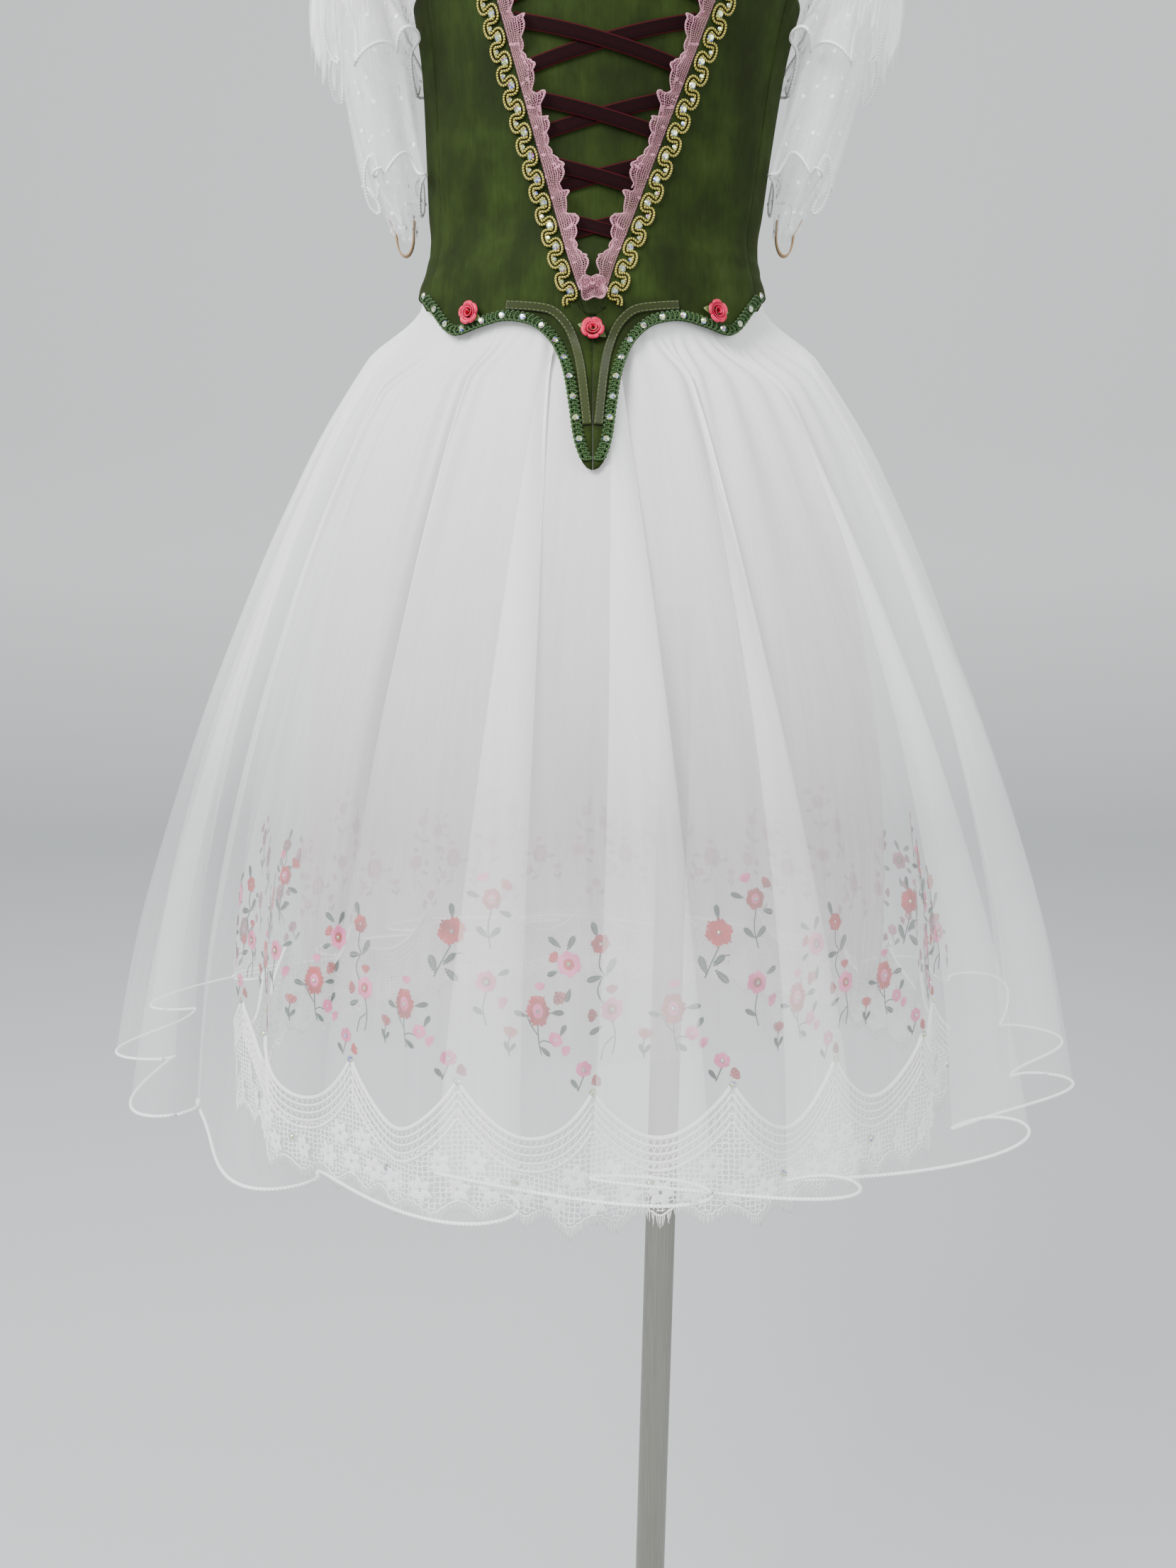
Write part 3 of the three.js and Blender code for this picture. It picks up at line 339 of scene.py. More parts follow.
# Meshes as arrays: a shape is (points, quads, tris, uv)
def no_faces(corners):
    """An empty list of faces with this many corners."""
    return np.zeros((0, corners), int)


def grid(points, uv=None, closed=False):
    """A surface from rows x columns points. Rows run down and columns to the right as seen from
    outside, so that the faces look outwards."""
    rows, columns = points.shape[:2]
    index = np.arange(rows * columns).reshape(rows, columns)
    if closed:
        index = np.concatenate([index, index[:, :1]], axis=1)
    quads = np.stack([index[:-1, :-1], index[1:, :-1], index[1:, 1:], index[:-1, 1:]], axis=-1)
    if uv is None:
        v, u = np.meshgrid(np.linspace(0, 1, rows), np.linspace(0, 1, columns), indexing="ij")
        uv = np.stack([u, v], axis=-1)
    return points.reshape(-1, 3), quads.reshape(-1, 4), no_faces(3), uv.reshape(-1, 2)


def turned(shape):
    """The same shape with its faces looking the other way."""
    points, quads, tris, uv = shape
    return points, quads[:, ::-1], tris[:, ::-1], uv


def joined(shapes):
    """Several shapes as one, their faces renumbered."""
    shapes = [s for s in shapes if len(s[0])]
    start = np.concatenate([[0], np.cumsum([len(s[0]) for s in shapes])])
    return (
        np.concatenate([s[0] for s in shapes]),
        np.concatenate([s[1] + o for s, o in zip(shapes, start)]),
        np.concatenate([s[2] + o for s, o in zip(shapes, start)]),
        np.concatenate([s[3] for s in shapes]),
    )


def cords(paths, radius, out, sides=5, flat=1.0):
    """Round cords along m paths of n points: a circle of the radius carried square to the path,
    one axis towards out and squeezed there by flat. Both ends are closed."""
    paths = np.asarray(paths, float)
    if paths.ndim == 2:
        paths, out = paths[None], np.asarray(out)[None]
    m, n = paths.shape[:2]
    along = unit(np.gradient(paths, axis=1))
    side = unit(np.cross(along, np.broadcast_to(out, paths.shape)))
    up = np.cross(side, along)
    turn = np.arange(sides) / sides * TURN
    radius = np.broadcast_to(radius, (m, n))[:, :, None, None]
    ring = side[:, :, None] * np.cos(turn)[:, None] + flat * up[:, :, None] * np.sin(turn)[:, None]
    points = paths[:, :, None] + radius * ring
    index = np.arange(m * n * sides).reshape(m, n, sides)
    beside = np.roll(index, -1, axis=2)
    quads = np.stack([index[:, :-1], beside[:, :-1], beside[:, 1:], index[:, 1:]], axis=-1)
    fan = np.arange(1, sides - 1)
    first, last = (index[:, end] for end in (0, -1))
    first = np.stack([first[:, :1].repeat(len(fan), 1), first[:, fan + 1], first[:, fan]], axis=-1)
    last = np.stack([last[:, :1].repeat(len(fan), 1), last[:, fan], last[:, fan + 1]], axis=-1)
    steps = np.linalg.norm(np.diff(paths, axis=1), axis=-1)
    run = np.concatenate([np.zeros((m, 1)), np.cumsum(steps, axis=1)], axis=1)
    uv = stacked(turn / TURN * 0.01, run[:, :, None] / 1000)
    tris = np.concatenate([first.reshape(-1, 3), last.reshape(-1, 3)])
    return turned((points.reshape(-1, 3), quads.reshape(-1, 4), tris, uv.reshape(-1, 2)))


def straight(start, end):
    """A path of three points from each start to its end."""
    t = np.array([0, 0.5, 1])[None, :, None]
    return start[:, None] * (1 - t) + end[:, None] * t


def ring_cord(path, radius, out, sides=6):
    """A cord whose path closes on itself."""
    path = np.asarray(path, float)
    along = unit(np.roll(path, -1, axis=0) - np.roll(path, 1, axis=0))
    side = unit(np.cross(along, out))
    up = np.cross(side, along)
    turn = np.arange(sides) / sides * TURN
    ring = side[:, None] * np.cos(turn)[:, None] + up[:, None] * np.sin(turn)[:, None]
    points = path[:, None] + radius * ring
    index = np.arange(len(path) * sides).reshape(len(path), sides)
    beside = np.roll(index, -1, axis=1)
    quads = [index, beside, np.roll(beside, -1, axis=0), np.roll(index, -1, axis=0)]
    quads = np.stack(quads, axis=-1)
    run = np.cumsum(np.linalg.norm(path - np.roll(path, 1, axis=0), axis=1))
    uv = stacked(turn / TURN * 0.01, run[:, None] / 1000)
    return turned((points.reshape(-1, 3), quads.reshape(-1, 4), no_faces(3), uv.reshape(-1, 2)))


def stamped(shape, places, axes):
    """A copy of a small shape at each place, its x, y and z along the columns of axes."""
    points, quads, tris, uv = shape
    n = len(places)
    axes = np.broadcast_to(axes, (n, 3, 3))
    world = np.einsum("nij,kj->nki", axes, points) + places[:, None]
    offset = (np.arange(n) * len(points))[:, None, None]
    return (
        world.reshape(-1, 3),
        (quads[None] + offset).reshape(-1, 4),
        (tris[None] + offset).reshape(-1, 3),
        np.tile(uv, (n, 1)),
    )


def axes_from(out, up=(0.0, 0.0, 1.0), turn=0.0):
    """Three directions at each place: z along out, and x and y across it, turned about it."""
    out = unit(np.asarray(out, float))
    side = unit(np.cross(np.broadcast_to(up, out.shape), out))
    top = np.cross(out, side)
    c, s = (np.broadcast_to(f(turn), out.shape[:-1])[..., None] for f in (np.cos, np.sin))
    return np.stack([side * c + top * s, top * c - side * s, out], axis=-1)


def walled(shape_out, shape_in, closed):
    """A wall from two grids of the same size, out and in, with its edges closed."""
    rows, columns = shape_out.shape[:2]
    outer, inner = grid(shape_out, closed=closed), turned(grid(shape_in, closed=closed))
    index = np.arange(rows * columns).reshape(rows, columns)
    far = index + rows * columns
    if closed:
        index, far = (np.concatenate([a, a[:, :1]], axis=1) for a in (index, far))
    rims = [
        np.stack([far[0, :-1], index[0, :-1], index[0, 1:], far[0, 1:]], -1),
        np.stack([index[-1, :-1], far[-1, :-1], far[-1, 1:], index[-1, 1:]], -1),
    ]
    if not closed:
        rims.append(np.stack([far[:-1, 0], far[1:, 0], index[1:, 0], index[:-1, 0]], -1))
        rims.append(np.stack([index[:-1, -1], index[1:, -1], far[1:, -1], far[:-1, -1]], -1))
    points, quads, tris, uv = joined([outer, inner])
    return points, np.concatenate([quads] + rims), tris, uv


def add_piece(name, shape, finish, nodes=(), sharp=False):
    """Puts a shape into the scene as a piece at the origin, with the material of its finish,
    riding on the part's one body, and hides the CAD nodes that it stands for."""
    points, quads, tris, uv = shape
    corners = np.concatenate([quads.reshape(-1), tris.reshape(-1)]).astype(np.int32)
    sizes = np.concatenate([np.full(len(quads), 4), np.full(len(tris), 3)])
    mesh = bpy.data.meshes.new(name)
    mesh.vertices.add(len(points))
    mesh.vertices.foreach_set("co", (points / 1000).astype(np.float32).ravel())
    mesh.loops.add(len(corners))
    mesh.loops.foreach_set("vertex_index", corners)
    mesh.polygons.add(len(sizes))
    mesh.polygons.foreach_set("loop_start", (np.cumsum(sizes) - sizes).astype(np.int32))
    mesh.polygons.foreach_set("use_smooth", np.full(len(sizes), not sharp))
    mesh.update(calc_edges=True)
    layer = mesh.uv_layers.new(name="UVMap")
    layer.data.foreach_set("uv", uv[corners].astype(np.float32).ravel())
    mesh.validate()
    mesh.materials.append(MATERIALS[finish])
    piece = bpy.data.objects.new(name, mesh)
    bpy.context.collection.objects.link(piece)
    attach(piece, "root")
    if nodes:
        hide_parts(*nodes)
    return piece


# Materials
def colour(text):
    """An sRGB hex value as a linear colour."""
    c = np.array([int(text[k:k + 2], 16) for k in (0, 2, 4)]) / 255
    linear = np.where(c <= 0.04045, c / 12.92, ((c + 0.055) / 1.055) ** 2.4)
    return (*[float(v) for v in linear], 1.0)


def node(tree, kind, settings=None, **links):
    """Adds a node: settings are its properties, and links its inputs, each a value or a socket,
    by their names or, as i0 and i1, by their places."""
    made = tree.nodes.new(kind)
    for key, value in (settings or {}).items():
        setattr(made, key, value)
    for key, value in links.items():
        name = key.replace("_", " ")
        named = [i for i in made.inputs if i.name == name and i.enabled]
        socket = named[0] if named else made.inputs[int(key[1:])]
        if isinstance(value, bpy.types.NodeSocket):
            tree.links.new(value, socket)
        else:
            socket.default_value = value
    return made


def material(name, **shader):
    """A material whose Principled shader has these values on its own sockets."""
    made = bpy.data.materials.get(name)
    if made:
        made.name = name + "_old"
    made = bpy.data.materials.new(name)
    made.use_nodes = True
    tree = made.node_tree
    bsdf = tree.nodes["Principled BSDF"]
    for key, value in shader.items():
        bsdf.inputs[key.replace("_", " ")].default_value = value
    return made, tree, bsdf


def mixed_colour(tree, factor, stops):
    """A colour that runs through the stops, places with sRGB hex values, as the factor rises."""
    ramp = node(tree, "ShaderNodeValToRGB", Fac=factor)
    while len(ramp.color_ramp.elements) < len(stops):
        ramp.color_ramp.elements.new(0.5)
    for element, (place, text) in zip(ramp.color_ramp.elements, stops):
        element.position = place
        element.color = colour(text)
    return ramp.outputs["Color"]


def pattern_at(tree, source, scale):
    """Object or UV coordinates times a scale for each axis."""
    where = node(tree, "ShaderNodeTexCoord").outputs[source]
    return node(tree, "ShaderNodeMapping", Vector=where, Scale=scale).outputs["Vector"]


def noise(tree, source, scale, **more):
    """Noise over object or UV coordinates, one scale for all axes or one for each."""
    scale = scale if isinstance(scale, tuple) else (scale, scale, scale)
    where = pattern_at(tree, source, scale)
    return node(tree, "ShaderNodeTexNoise", Vector=where, Scale=1.0, **more).outputs["Fac"]


def painted(tree, bsdf, factor, stops):
    """The base colour runs through the stops as the factor rises."""
    tree.links.new(mixed_colour(tree, factor, stops), bsdf.inputs["Base Color"])


def bumped(tree, bsdf, height, distance, strength):
    """A bump from a height between 0 and 1, as deep as the distance in metres."""
    bump = node(tree, "ShaderNodeBump", Height=height, Distance=distance, Strength=strength)
    tree.links.new(bump.outputs["Normal"], bsdf.inputs["Normal"])


def velvet_material():
    # Cotton velvet, crushed a little along its pile: the nap shows as soft upright streaks and
    # cloudy patches of olive and dark green, with a pale sheen where the pile leans
    made, tree, bsdf = material(
        "Cotton velvet olive", Roughness=0.8, Sheen_Weight=0.17, Sheen_Roughness=0.4,
        Sheen_Tint=colour("5c6a24"), Specular_IOR_Level=0.12)
    cloud = noise(tree, "Object", (26, 26, 20), Detail=3.0, Roughness=0.6)
    # Streaks 2 mm wide and 40 mm long, about 20 pile rows each
    nap = noise(tree, "Object", (420, 420, 28), Detail=3.0, Roughness=0.6)
    both = node(tree, "ShaderNodeMath", {"operation": "MULTIPLY_ADD"}, i0=nap, i1=0.24, i2=cloud)
    shade = node(tree, "ShaderNodeMath", {"operation": "SUBTRACT"}, i0=both.outputs[0], i1=0.12)
    painted(tree, bsdf, shade.outputs[0],
            [(0.30, "182108"), (0.45, "1d280a"), (0.58, "24310e"), (0.74, "2d3b16")])
    bumped(tree, bsdf, noise(tree, "Object", (1400, 1400, 300), Detail=2.0), 0.0004, 0.5)
    return made


def sheer_material(name, tone, cover, streak, spacing, waist=0.0, reach=0.36):
    # A plain sheer weave: it covers part of the light evenly. The threads are too fine to show,
    # so slubs a few threads wide stand in for them along the warp. Gathered at the waist, the
    # cloth lies in many close layers and covers more, less and less down to reach, in metres
    made, tree, bsdf = material(name, Base_Color=tuple(tone), Roughness=0.6, Sheen_Weight=0.05,
                                Sheen_Roughness=0.4, Specular_IOR_Level=0.15)
    slub = noise(tree, "UV", (spacing, spacing / 40, 1), Detail=3.0, Roughness=0.6)
    alpha = node(tree, "ShaderNodeMapRange", Value=slub, From_Min=0.25, From_Max=0.75,
                 To_Min=cover - streak, To_Max=cover + streak)
    run = node(tree, "ShaderNodeSeparateXYZ", Vector=pattern_at(tree, "UV", (1, 1, 1)))
    packed = node(tree, "ShaderNodeMapRange", Value=run.outputs["Y"], From_Min=0.0, From_Max=reach,
                  To_Min=waist, To_Max=0.0)
    total = node(tree, "ShaderNodeMath", {"operation": "ADD", "use_clamp": True},
                 i0=alpha.outputs["Result"], i1=packed.outputs["Result"])
    tree.links.new(total.outputs[0], bsdf.inputs["Alpha"])
    bumped(tree, bsdf, slub, 0.0003, 0.4)
    made.surface_render_method = "BLENDED"
    return made


def net_material(name, tone, mesh_mm, line, motif):
    # A bobbin net of thin threads round open cells: the cells are cut out by the distance to the
    # cells' edges, and closer worked motifs fill some of them
    made, tree, bsdf = material(name, Base_Color=colour(tone), Roughness=0.75,
                                Specular_IOR_Level=0.25, Sheen_Weight=0.2)
    per_metre = 1000 / mesh_mm
    cells = node(tree, "ShaderNodeTexVoronoi", {"feature": "DISTANCE_TO_EDGE"}, Scale=1.0,
                 Randomness=0.35, Vector=pattern_at(tree, "UV", (per_metre, per_metre, 1)))
    thread = node(tree, "ShaderNodeMath", {"operation": "LESS_THAN"},
                  i0=cells.outputs["Distance"], i1=line)
    cloud = noise(tree, "UV", (160, 160, 1), Detail=1.0)
    worked = node(tree, "ShaderNodeMath", {"operation": "GREATER_THAN"}, i0=cloud, i1=1 - motif)
    shown = node(tree, "ShaderNodeMath", {"operation": "MAXIMUM"},
                 i0=thread.outputs[0], i1=worked.outputs[0])
    alpha = node(tree, "ShaderNodeMath", {"operation": "MULTIPLY"}, i0=shown.outputs[0], i1=0.95)
    tree.links.new(alpha.outputs[0], bsdf.inputs["Alpha"])
    bumped(tree, bsdf, cells.outputs["Distance"], 0.0004, 0.5)
    made.surface_render_method = "BLENDED"
    return made


def thread_material(name, dark, light, pitch_mm, rough=0.55, shine=0.3, metal=0.0):
    # Twisted thread: fine slanting bands of light and shade along the cord
    made, tree, bsdf = material(name, Roughness=rough, Specular_IOR_Level=shine,
                                Metallic=metal, Sheen_Weight=0.15)
    twist = node(tree, "ShaderNodeTexWave", {"wave_type": "BANDS", "bands_direction": "DIAGONAL"},
                 Vector=pattern_at(tree, "UV", (60, 1000 / pitch_mm / 3, 1)),
                 Scale=1.0, Distortion=1.0, Detail=1.0)
    painted(tree, bsdf, twist.outputs["Fac"], [(0.1, dark), (0.75, light)])
    bumped(tree, bsdf, twist.outputs["Fac"], 0.0003, 0.6)
    return made


def stitched_material(name, dark, light):
    # Satin stitch in viscose thread: each stitch is its own ridge, its colour varies a little
    made, tree, bsdf = material(name, Roughness=0.45, Specular_IOR_Level=0.4, Sheen_Weight=0.2)
    painted(tree, bsdf, noise(tree, "Object", 60, Detail=2.0), [(0.35, dark), (0.65, light)])
    bumped(tree, bsdf, noise(tree, "Object", 2500), 0.0001, 0.4)
    return made


def ribbon_material():
    # Velvet ribbon: nearly black pile that goes burgundy where it leans, with bare satin edges
    made, tree, bsdf = material(
        "Velvet ribbon burgundy", Roughness=0.85, Sheen_Weight=0.2, Sheen_Roughness=0.3,
        Sheen_Tint=colour("7c1c28"), Specular_IOR_Level=0.1)
    where = node(tree, "ShaderNodeTexCoord").outputs["UV"]
    across = node(tree, "ShaderNodeSeparateXYZ", Vector=where).outputs["X"]
    away = node(tree, "ShaderNodeMath", {"operation": "ABSOLUTE"}, i0=across)
    painted(tree, bsdf, away.outputs[0], [(0.0, "190206"), (0.80, "120203"), (0.93, "3d0a12")])
    bumped(tree, bsdf, noise(tree, "Object", 1500, Detail=2.0), 0.0003, 0.5)
    return made


def satin_material(name, dark, light, rough=0.33):
    # Polyester satin: smooth and shiny along its floats, with a faint weft line
    made, tree, bsdf = material(name, Roughness=rough, Specular_IOR_Level=0.35, Sheen_Weight=0.08,
                                Sheen_Roughness=0.35)
    painted(tree, bsdf, noise(tree, "Object", 180), [(0.3, dark), (0.7, light)])
    weft = node(tree, "ShaderNodeTexWave", {"wave_type": "BANDS", "bands_direction": "Z"},
                Vector=pattern_at(tree, "Object", (1, 1, 1)), Scale=900.0, Distortion=0.5)
    bumped(tree, bsdf, weft.outputs["Fac"], 0.0001, 0.25)
    return made


def stone_material():
    # A faceted glass stone with a thin rainbow coating: each facet throws another colour, painted
    # into the base colour by place, partly the coating's tint and partly painted glints and
    # reflections
    made, tree, bsdf = material("Coated faceted glass", Roughness=0.12, Metallic=0.75,
                                Coat_Weight=0.8, Coat_Roughness=0.03)
    painted(tree, bsdf, noise(tree, "Object", 520, Detail=1.0),
            [(0.34, "4b45c4"), (0.43, "d6efe6"), (0.50, "c9bb45"), (0.57, "8cc48c"),
             (0.66, "9a3f9c")])
    return made


def jersey_material():
    # Polyester jersey pulled over foam, with a faint knit in level rows
    made, tree, bsdf = material("Jersey off white", Roughness=0.8, Sheen_Weight=0.2,
                                Specular_IOR_Level=0.25)
    knit = node(tree, "ShaderNodeTexWave", {"wave_type": "BANDS", "bands_direction": "Z"},
                Vector=pattern_at(tree, "Object", (1, 1, 1)),
                Scale=250.0, Distortion=2.0, Detail=1.0)
    painted(tree, bsdf, noise(tree, "Object", 9, Detail=3.0), [(0.3, "d9d3c8"), (0.7, "e9e5dd")])
    bumped(tree, bsdf, knit.outputs["Fac"], 0.0002, 0.35)
    return made


def steel_material():
    # Stainless steel, brushed along the tube: long fine scratches spread the highlight
    made, tree, bsdf = material("Stainless steel brushed", Metallic=1.0, Roughness=0.34)
    scratch = noise(tree, "Object", (2400, 2400, 9), Detail=3.0)
    painted(tree, bsdf, scratch, [(0.3, "85837c"), (0.7, "9b9890")])
    rough = node(tree, "ShaderNodeMapRange", Value=scratch, To_Min=0.24, To_Max=0.46)
    tree.links.new(rough.outputs["Result"], bsdf.inputs["Roughness"])
    bumped(tree, bsdf, scratch, 0.0001, 0.3)
    return made


MATERIALS = {}


def make_materials(colours):
    """One material for each finish, under the name that add_piece takes."""
    MATERIALS.update(
        velvet=velvet_material(),
        organza=sheer_material("Silk organza white", colours.organza, 0.135, 0.03, 420, 0.62),
        # The tulle's grey tone is painted shade for the shade inside the layered skirt; the cloth
        # itself is white
        tulle=sheer_material("Soft tulle white in painted shade", colour("d4d4d4"), 0.15, 0.02, 900, 0.4),
        # The petticoat's colour is its own pale pink, darkened with painted shade for the shade
        # between the layers
        petticoat=sheer_material("Net petticoat pink in painted shade", colours.petticoat, 0.24, 0.05, 500, 0.70, 0.56),
        sleeve=sheer_material("Dotted sleeve tulle", colour("ffffff"), 0.26, 0.12, 700),
        dots=stitched_material("Flocked dots", "f1f3f2", "ffffff"),
        hem_cord=thread_material("Satin hem cord white", "dfe3e2", "ffffff", 1.2),
        lace_cord=thread_material("Guipure thread white", "e3e4e0", "ffffff", 0.9, 0.7),
        lace_net=net_material("Guipure ground", "fbfcfa", 3.2, 0.11, 0.14),
        gold=thread_material("Gold braid cord", "423d0c", "c3b345", 0.9, 0.36, 0.5, 0.45),
        pink_net=net_material("Pink net lace", "bd7f90", 1.6, 0.11, 0.36),
        pink_cord=thread_material("Pink lace edge thread", "a76a7b", "cf97a6", 0.9),
        ribbon=ribbon_material(),
        gimp=thread_material("Green gimp cord", "0f2208", "365c22", 0.8, 0.6, 0.3),
        tape=thread_material("Olive bias tape", "20280a", "323d10", 0.8, 0.8, 0.15),
        tape_stitch=stitched_material("Tape stitching", "3c4814", "5a6626"),
        rose=satin_material("Satin ribbon coral", "ae0433", "e41c56"),
        leaf=satin_material("Satin ribbon sage", "47562c", "7c8b54", 0.4),
        stone=stone_material(),
        emb_red=stitched_material("Embroidery thread red", "84040f", "b50c20"),
        emb_pink=stitched_material("Embroidery thread pink", "bd3c74", "dd6f9f"),
        emb_green=stitched_material("Embroidery thread grey green", "122c25", "274a3b"),
        elastic=thread_material("Woven elastic tan", "a8845c", "cfa97e", 1.4, 0.7),
        jersey=jersey_material(),
        steel=steel_material(),
        casting=stitched_material("Bound neck cap", "d8d2c6", "e8e3d9"),
    )


# Shapes of the stand, the form and the bodice
def capped(points):
    """A closed stack of rings, given as rows x columns points running down, with flat ends."""
    rows, columns = points.shape[:2]
    flat, quads, _, uv = grid(points, closed=True)
    hub = rows * columns
    first = np.arange(columns)
    last = first + (rows - 1) * columns
    top = np.stack([np.full(columns, hub), first, np.roll(first, -1)], -1)
    low = np.stack([np.full(columns, hub + 1), np.roll(last, -1), last], -1)
    ends = np.stack([points[0].mean(axis=0), points[-1].mean(axis=0)])
    uv = np.concatenate([uv, [[0, 0], [0, 1]]])
    return np.concatenate([flat, ends]), quads, np.concatenate([top, low]), uv


def form_shape():
    """The form's level sections as one smooth skin from the neck cap to the flat underside."""
    z = np.linspace(1668, 1020.2, 110)
    zz, aa = np.meshgrid(z, full_turn(90), indexing="ij")
    return capped(on_section(sections(FORM, zz), aa, zz, 0.0))


def turned_profile(radii, heights, centre_x, lean, columns=96):
    """Rings of the given radii at the given heights, running down, round a leaning middle."""
    angle = full_turn(columns)
    x = centre_x + lean * heights[:, None] + radii[:, None] * np.sin(angle)
    y = -radii[:, None] * np.cos(angle)
    return np.stack([x, y, np.broadcast_to(heights[:, None], x.shape)], axis=-1)


def coons(bottom, top, inner, outer):
    """A patch between four edges: the two blends of opposite edges less the blend of the four
    corners. bottom and top run from inner to outer, inner and outer from bottom to top."""
    u = np.linspace(0, 1, len(bottom))[None, :, None]
    v = np.linspace(0, 1, len(inner))[:, None, None]
    across = (1 - v) * bottom[None] + v * top[None]
    along = (1 - u) * inner[:, None] + u * outer[:, None]
    low = (1 - u) * bottom[0] + u * bottom[-1]
    high = (1 - u) * top[0] + u * top[-1]
    return across + along - ((1 - v) * low + v * high)


def edge_line(table, below, last_x):
    """The basque's edge moved down and out by a distance, up to a distance from the centre."""
    line = rounded(table, 240)
    along = unit(np.gradient(line, axis=0))
    line = line + below * np.stack([along[:, 1], -along[:, 0]], axis=-1)
    line = line[line[:, 0] < last_x]
    line[0, 0] = SEAM_GAP
    line[:, 0] = np.maximum(line[:, 0], SEAM_GAP)
    return line


def panel_shape(kind, sign):
    """A front or back panel: a patch between the basque's edge, the centre or V line, the side
    seam with the armhole, and the neckline, laid on the bodice and given its thickness."""
    back = kind == "back"
    seam_z = np.linspace(1227, 1440, 30)
    seam = np.stack([seam_x(seam_z) - SEAM_GAP, seam_z], axis=-1)
    low = edge_line(BACK_EDGE if back else FRONT_EDGE, GIMP_BELOW, seam[0, 0] - 0.5)
    low = np.concatenate([low, seam[:1]])
    if back:
        inner = np.array([low[0], (SEAM_GAP, BACK_NECK_Z)])
        outer = np.concatenate([seam, [(124, 1452), (121, 1464)]])
        top = np.array([(SEAM_GAP, BACK_NECK_Z), (60, 1452), (101, 1464), (121, 1464)])
    else:
        neck = (v_half(NECK_Z) + SEAM_GAP, NECK_Z)
        inner = np.array([low[0], (SEAM_GAP, 1212), (V_POINT_HALF + SEAM_GAP, V_POINT_Z), neck])
        outer = np.concatenate([seam, [(128, 1462), (123, 1482), (121, 1496)]])
        top = np.array([neck, (101, 1495), (121, 1496)])
    level = (resampled(edge, 50) for edge in (low, top))
    upright = (resampled(edge, 80) for edge in (inner, outer))
    patch = coons(*level, *upright)[::-1]
    x, z = patch[..., 0], patch[..., 1]
    if (sign < 0) != back:
        x, z = x[:, ::-1], z[:, ::-1]
    ripple = creases(sign * x, z)
    near = np.minimum(1, np.abs(x) / 6)
    outside = on_bodice(sign * x, z, VELVET + ripple * near, back)
    inside = on_bodice(sign * x, z, INSIDE, back)
    return walled(outside, inside, False)


def side_panel_shape(sign):
    """The side panel runs round the body between the two side seams by equal angles."""
    turn = np.arcsin(SEAM_SINE) + 0.002
    angle = np.linspace(turn, np.pi - turn, 40)
    x = bodice_section(np.full(40, 1240.0))[0] * np.sin(angle)
    low = smooth(FRONT_EDGE[:, 0], FRONT_EDGE[:, 1], np.minimum(x, 124)) - GIMP_BELOW
    t = np.linspace(1, 0, 80)[:, None]
    z = low + (SIDE_TOP_Z - low) * t
    angle = np.broadcast_to(sign * angle, z.shape)
    if sign < 0:
        angle, z = angle[:, ::-1], z[:, ::-1]
    out = VELVET + 0.6 * creases(60 * angle, z)
    section = bodice_section(z)
    return walled(on_section(section, angle, z, out), on_section(section, angle, z, INSIDE), False)


def plastron_shape():
    """The panel in the V: straight rows from one V edge to the other under a dipping top edge,
    with faint creases at the waist."""
    t = np.linspace(1, 0, 90)[:, None]
    u = np.linspace(-1, 1, 45)[None]
    top = NECK_Z - 6 * (1 - np.abs(u)) ** 1.2
    z = V_POINT_Z + 0.3 + (top - V_POINT_Z - 0.3) * t
    x = u * (v_half(z) - SEAM_GAP)
    pull = 0.35 * np.sin(z / 3.1 + 0.8 * np.sin(x / 14)) * np.exp(-((z - 1262) / 30) ** 2)
    return walled(on_bodice(x, z, VELVET + pull), on_bodice(x, z, INSIDE), False)


def strap_point(x, share):
    """Follows the form over the shoulder: the height goes up to the shoulder's crest and down
    again as a half sine, and the depth is the form's there."""
    heights = np.linspace(1668, 1540, 500)
    sides = sections(FORM, heights)[0]
    crest = heights[np.searchsorted(sides, np.abs(x) + 0.5)]
    ends = np.where(share < 0.5, 1498, 1466)
    z = ends + (crest - ends) * np.sin(share * np.pi)
    side, front, back = sections(FORM, z)
    depth = np.where(share < 0.5, -front, back) * np.sqrt(np.maximum(0, 1 - (x / side) ** 2))
    return np.stack([middle_x(z) + x, depth, z], axis=-1)


def strap_shape(sign):
    """A band 20 mm wide over the shoulder, 1.6 mm thick, standing 2.1 mm off the form."""
    share = np.linspace(0, 1, 80)[:, None]
    x = sign * (109.5 + np.linspace(-10, 10, 13)[None])
    share, x = np.broadcast_arrays(share, x)
    place = strap_point(x, share)
    along = np.gradient(place, axis=0)
    across = np.gradient(place, axis=1) * sign
    out = unit(np.cross(across, along))
    outer, inner = place + 3.7 * out, place + 2.1 * out
    if sign < 0:
        return walled(outer, inner, False)
    return walled(outer[::-1], inner[::-1], False)


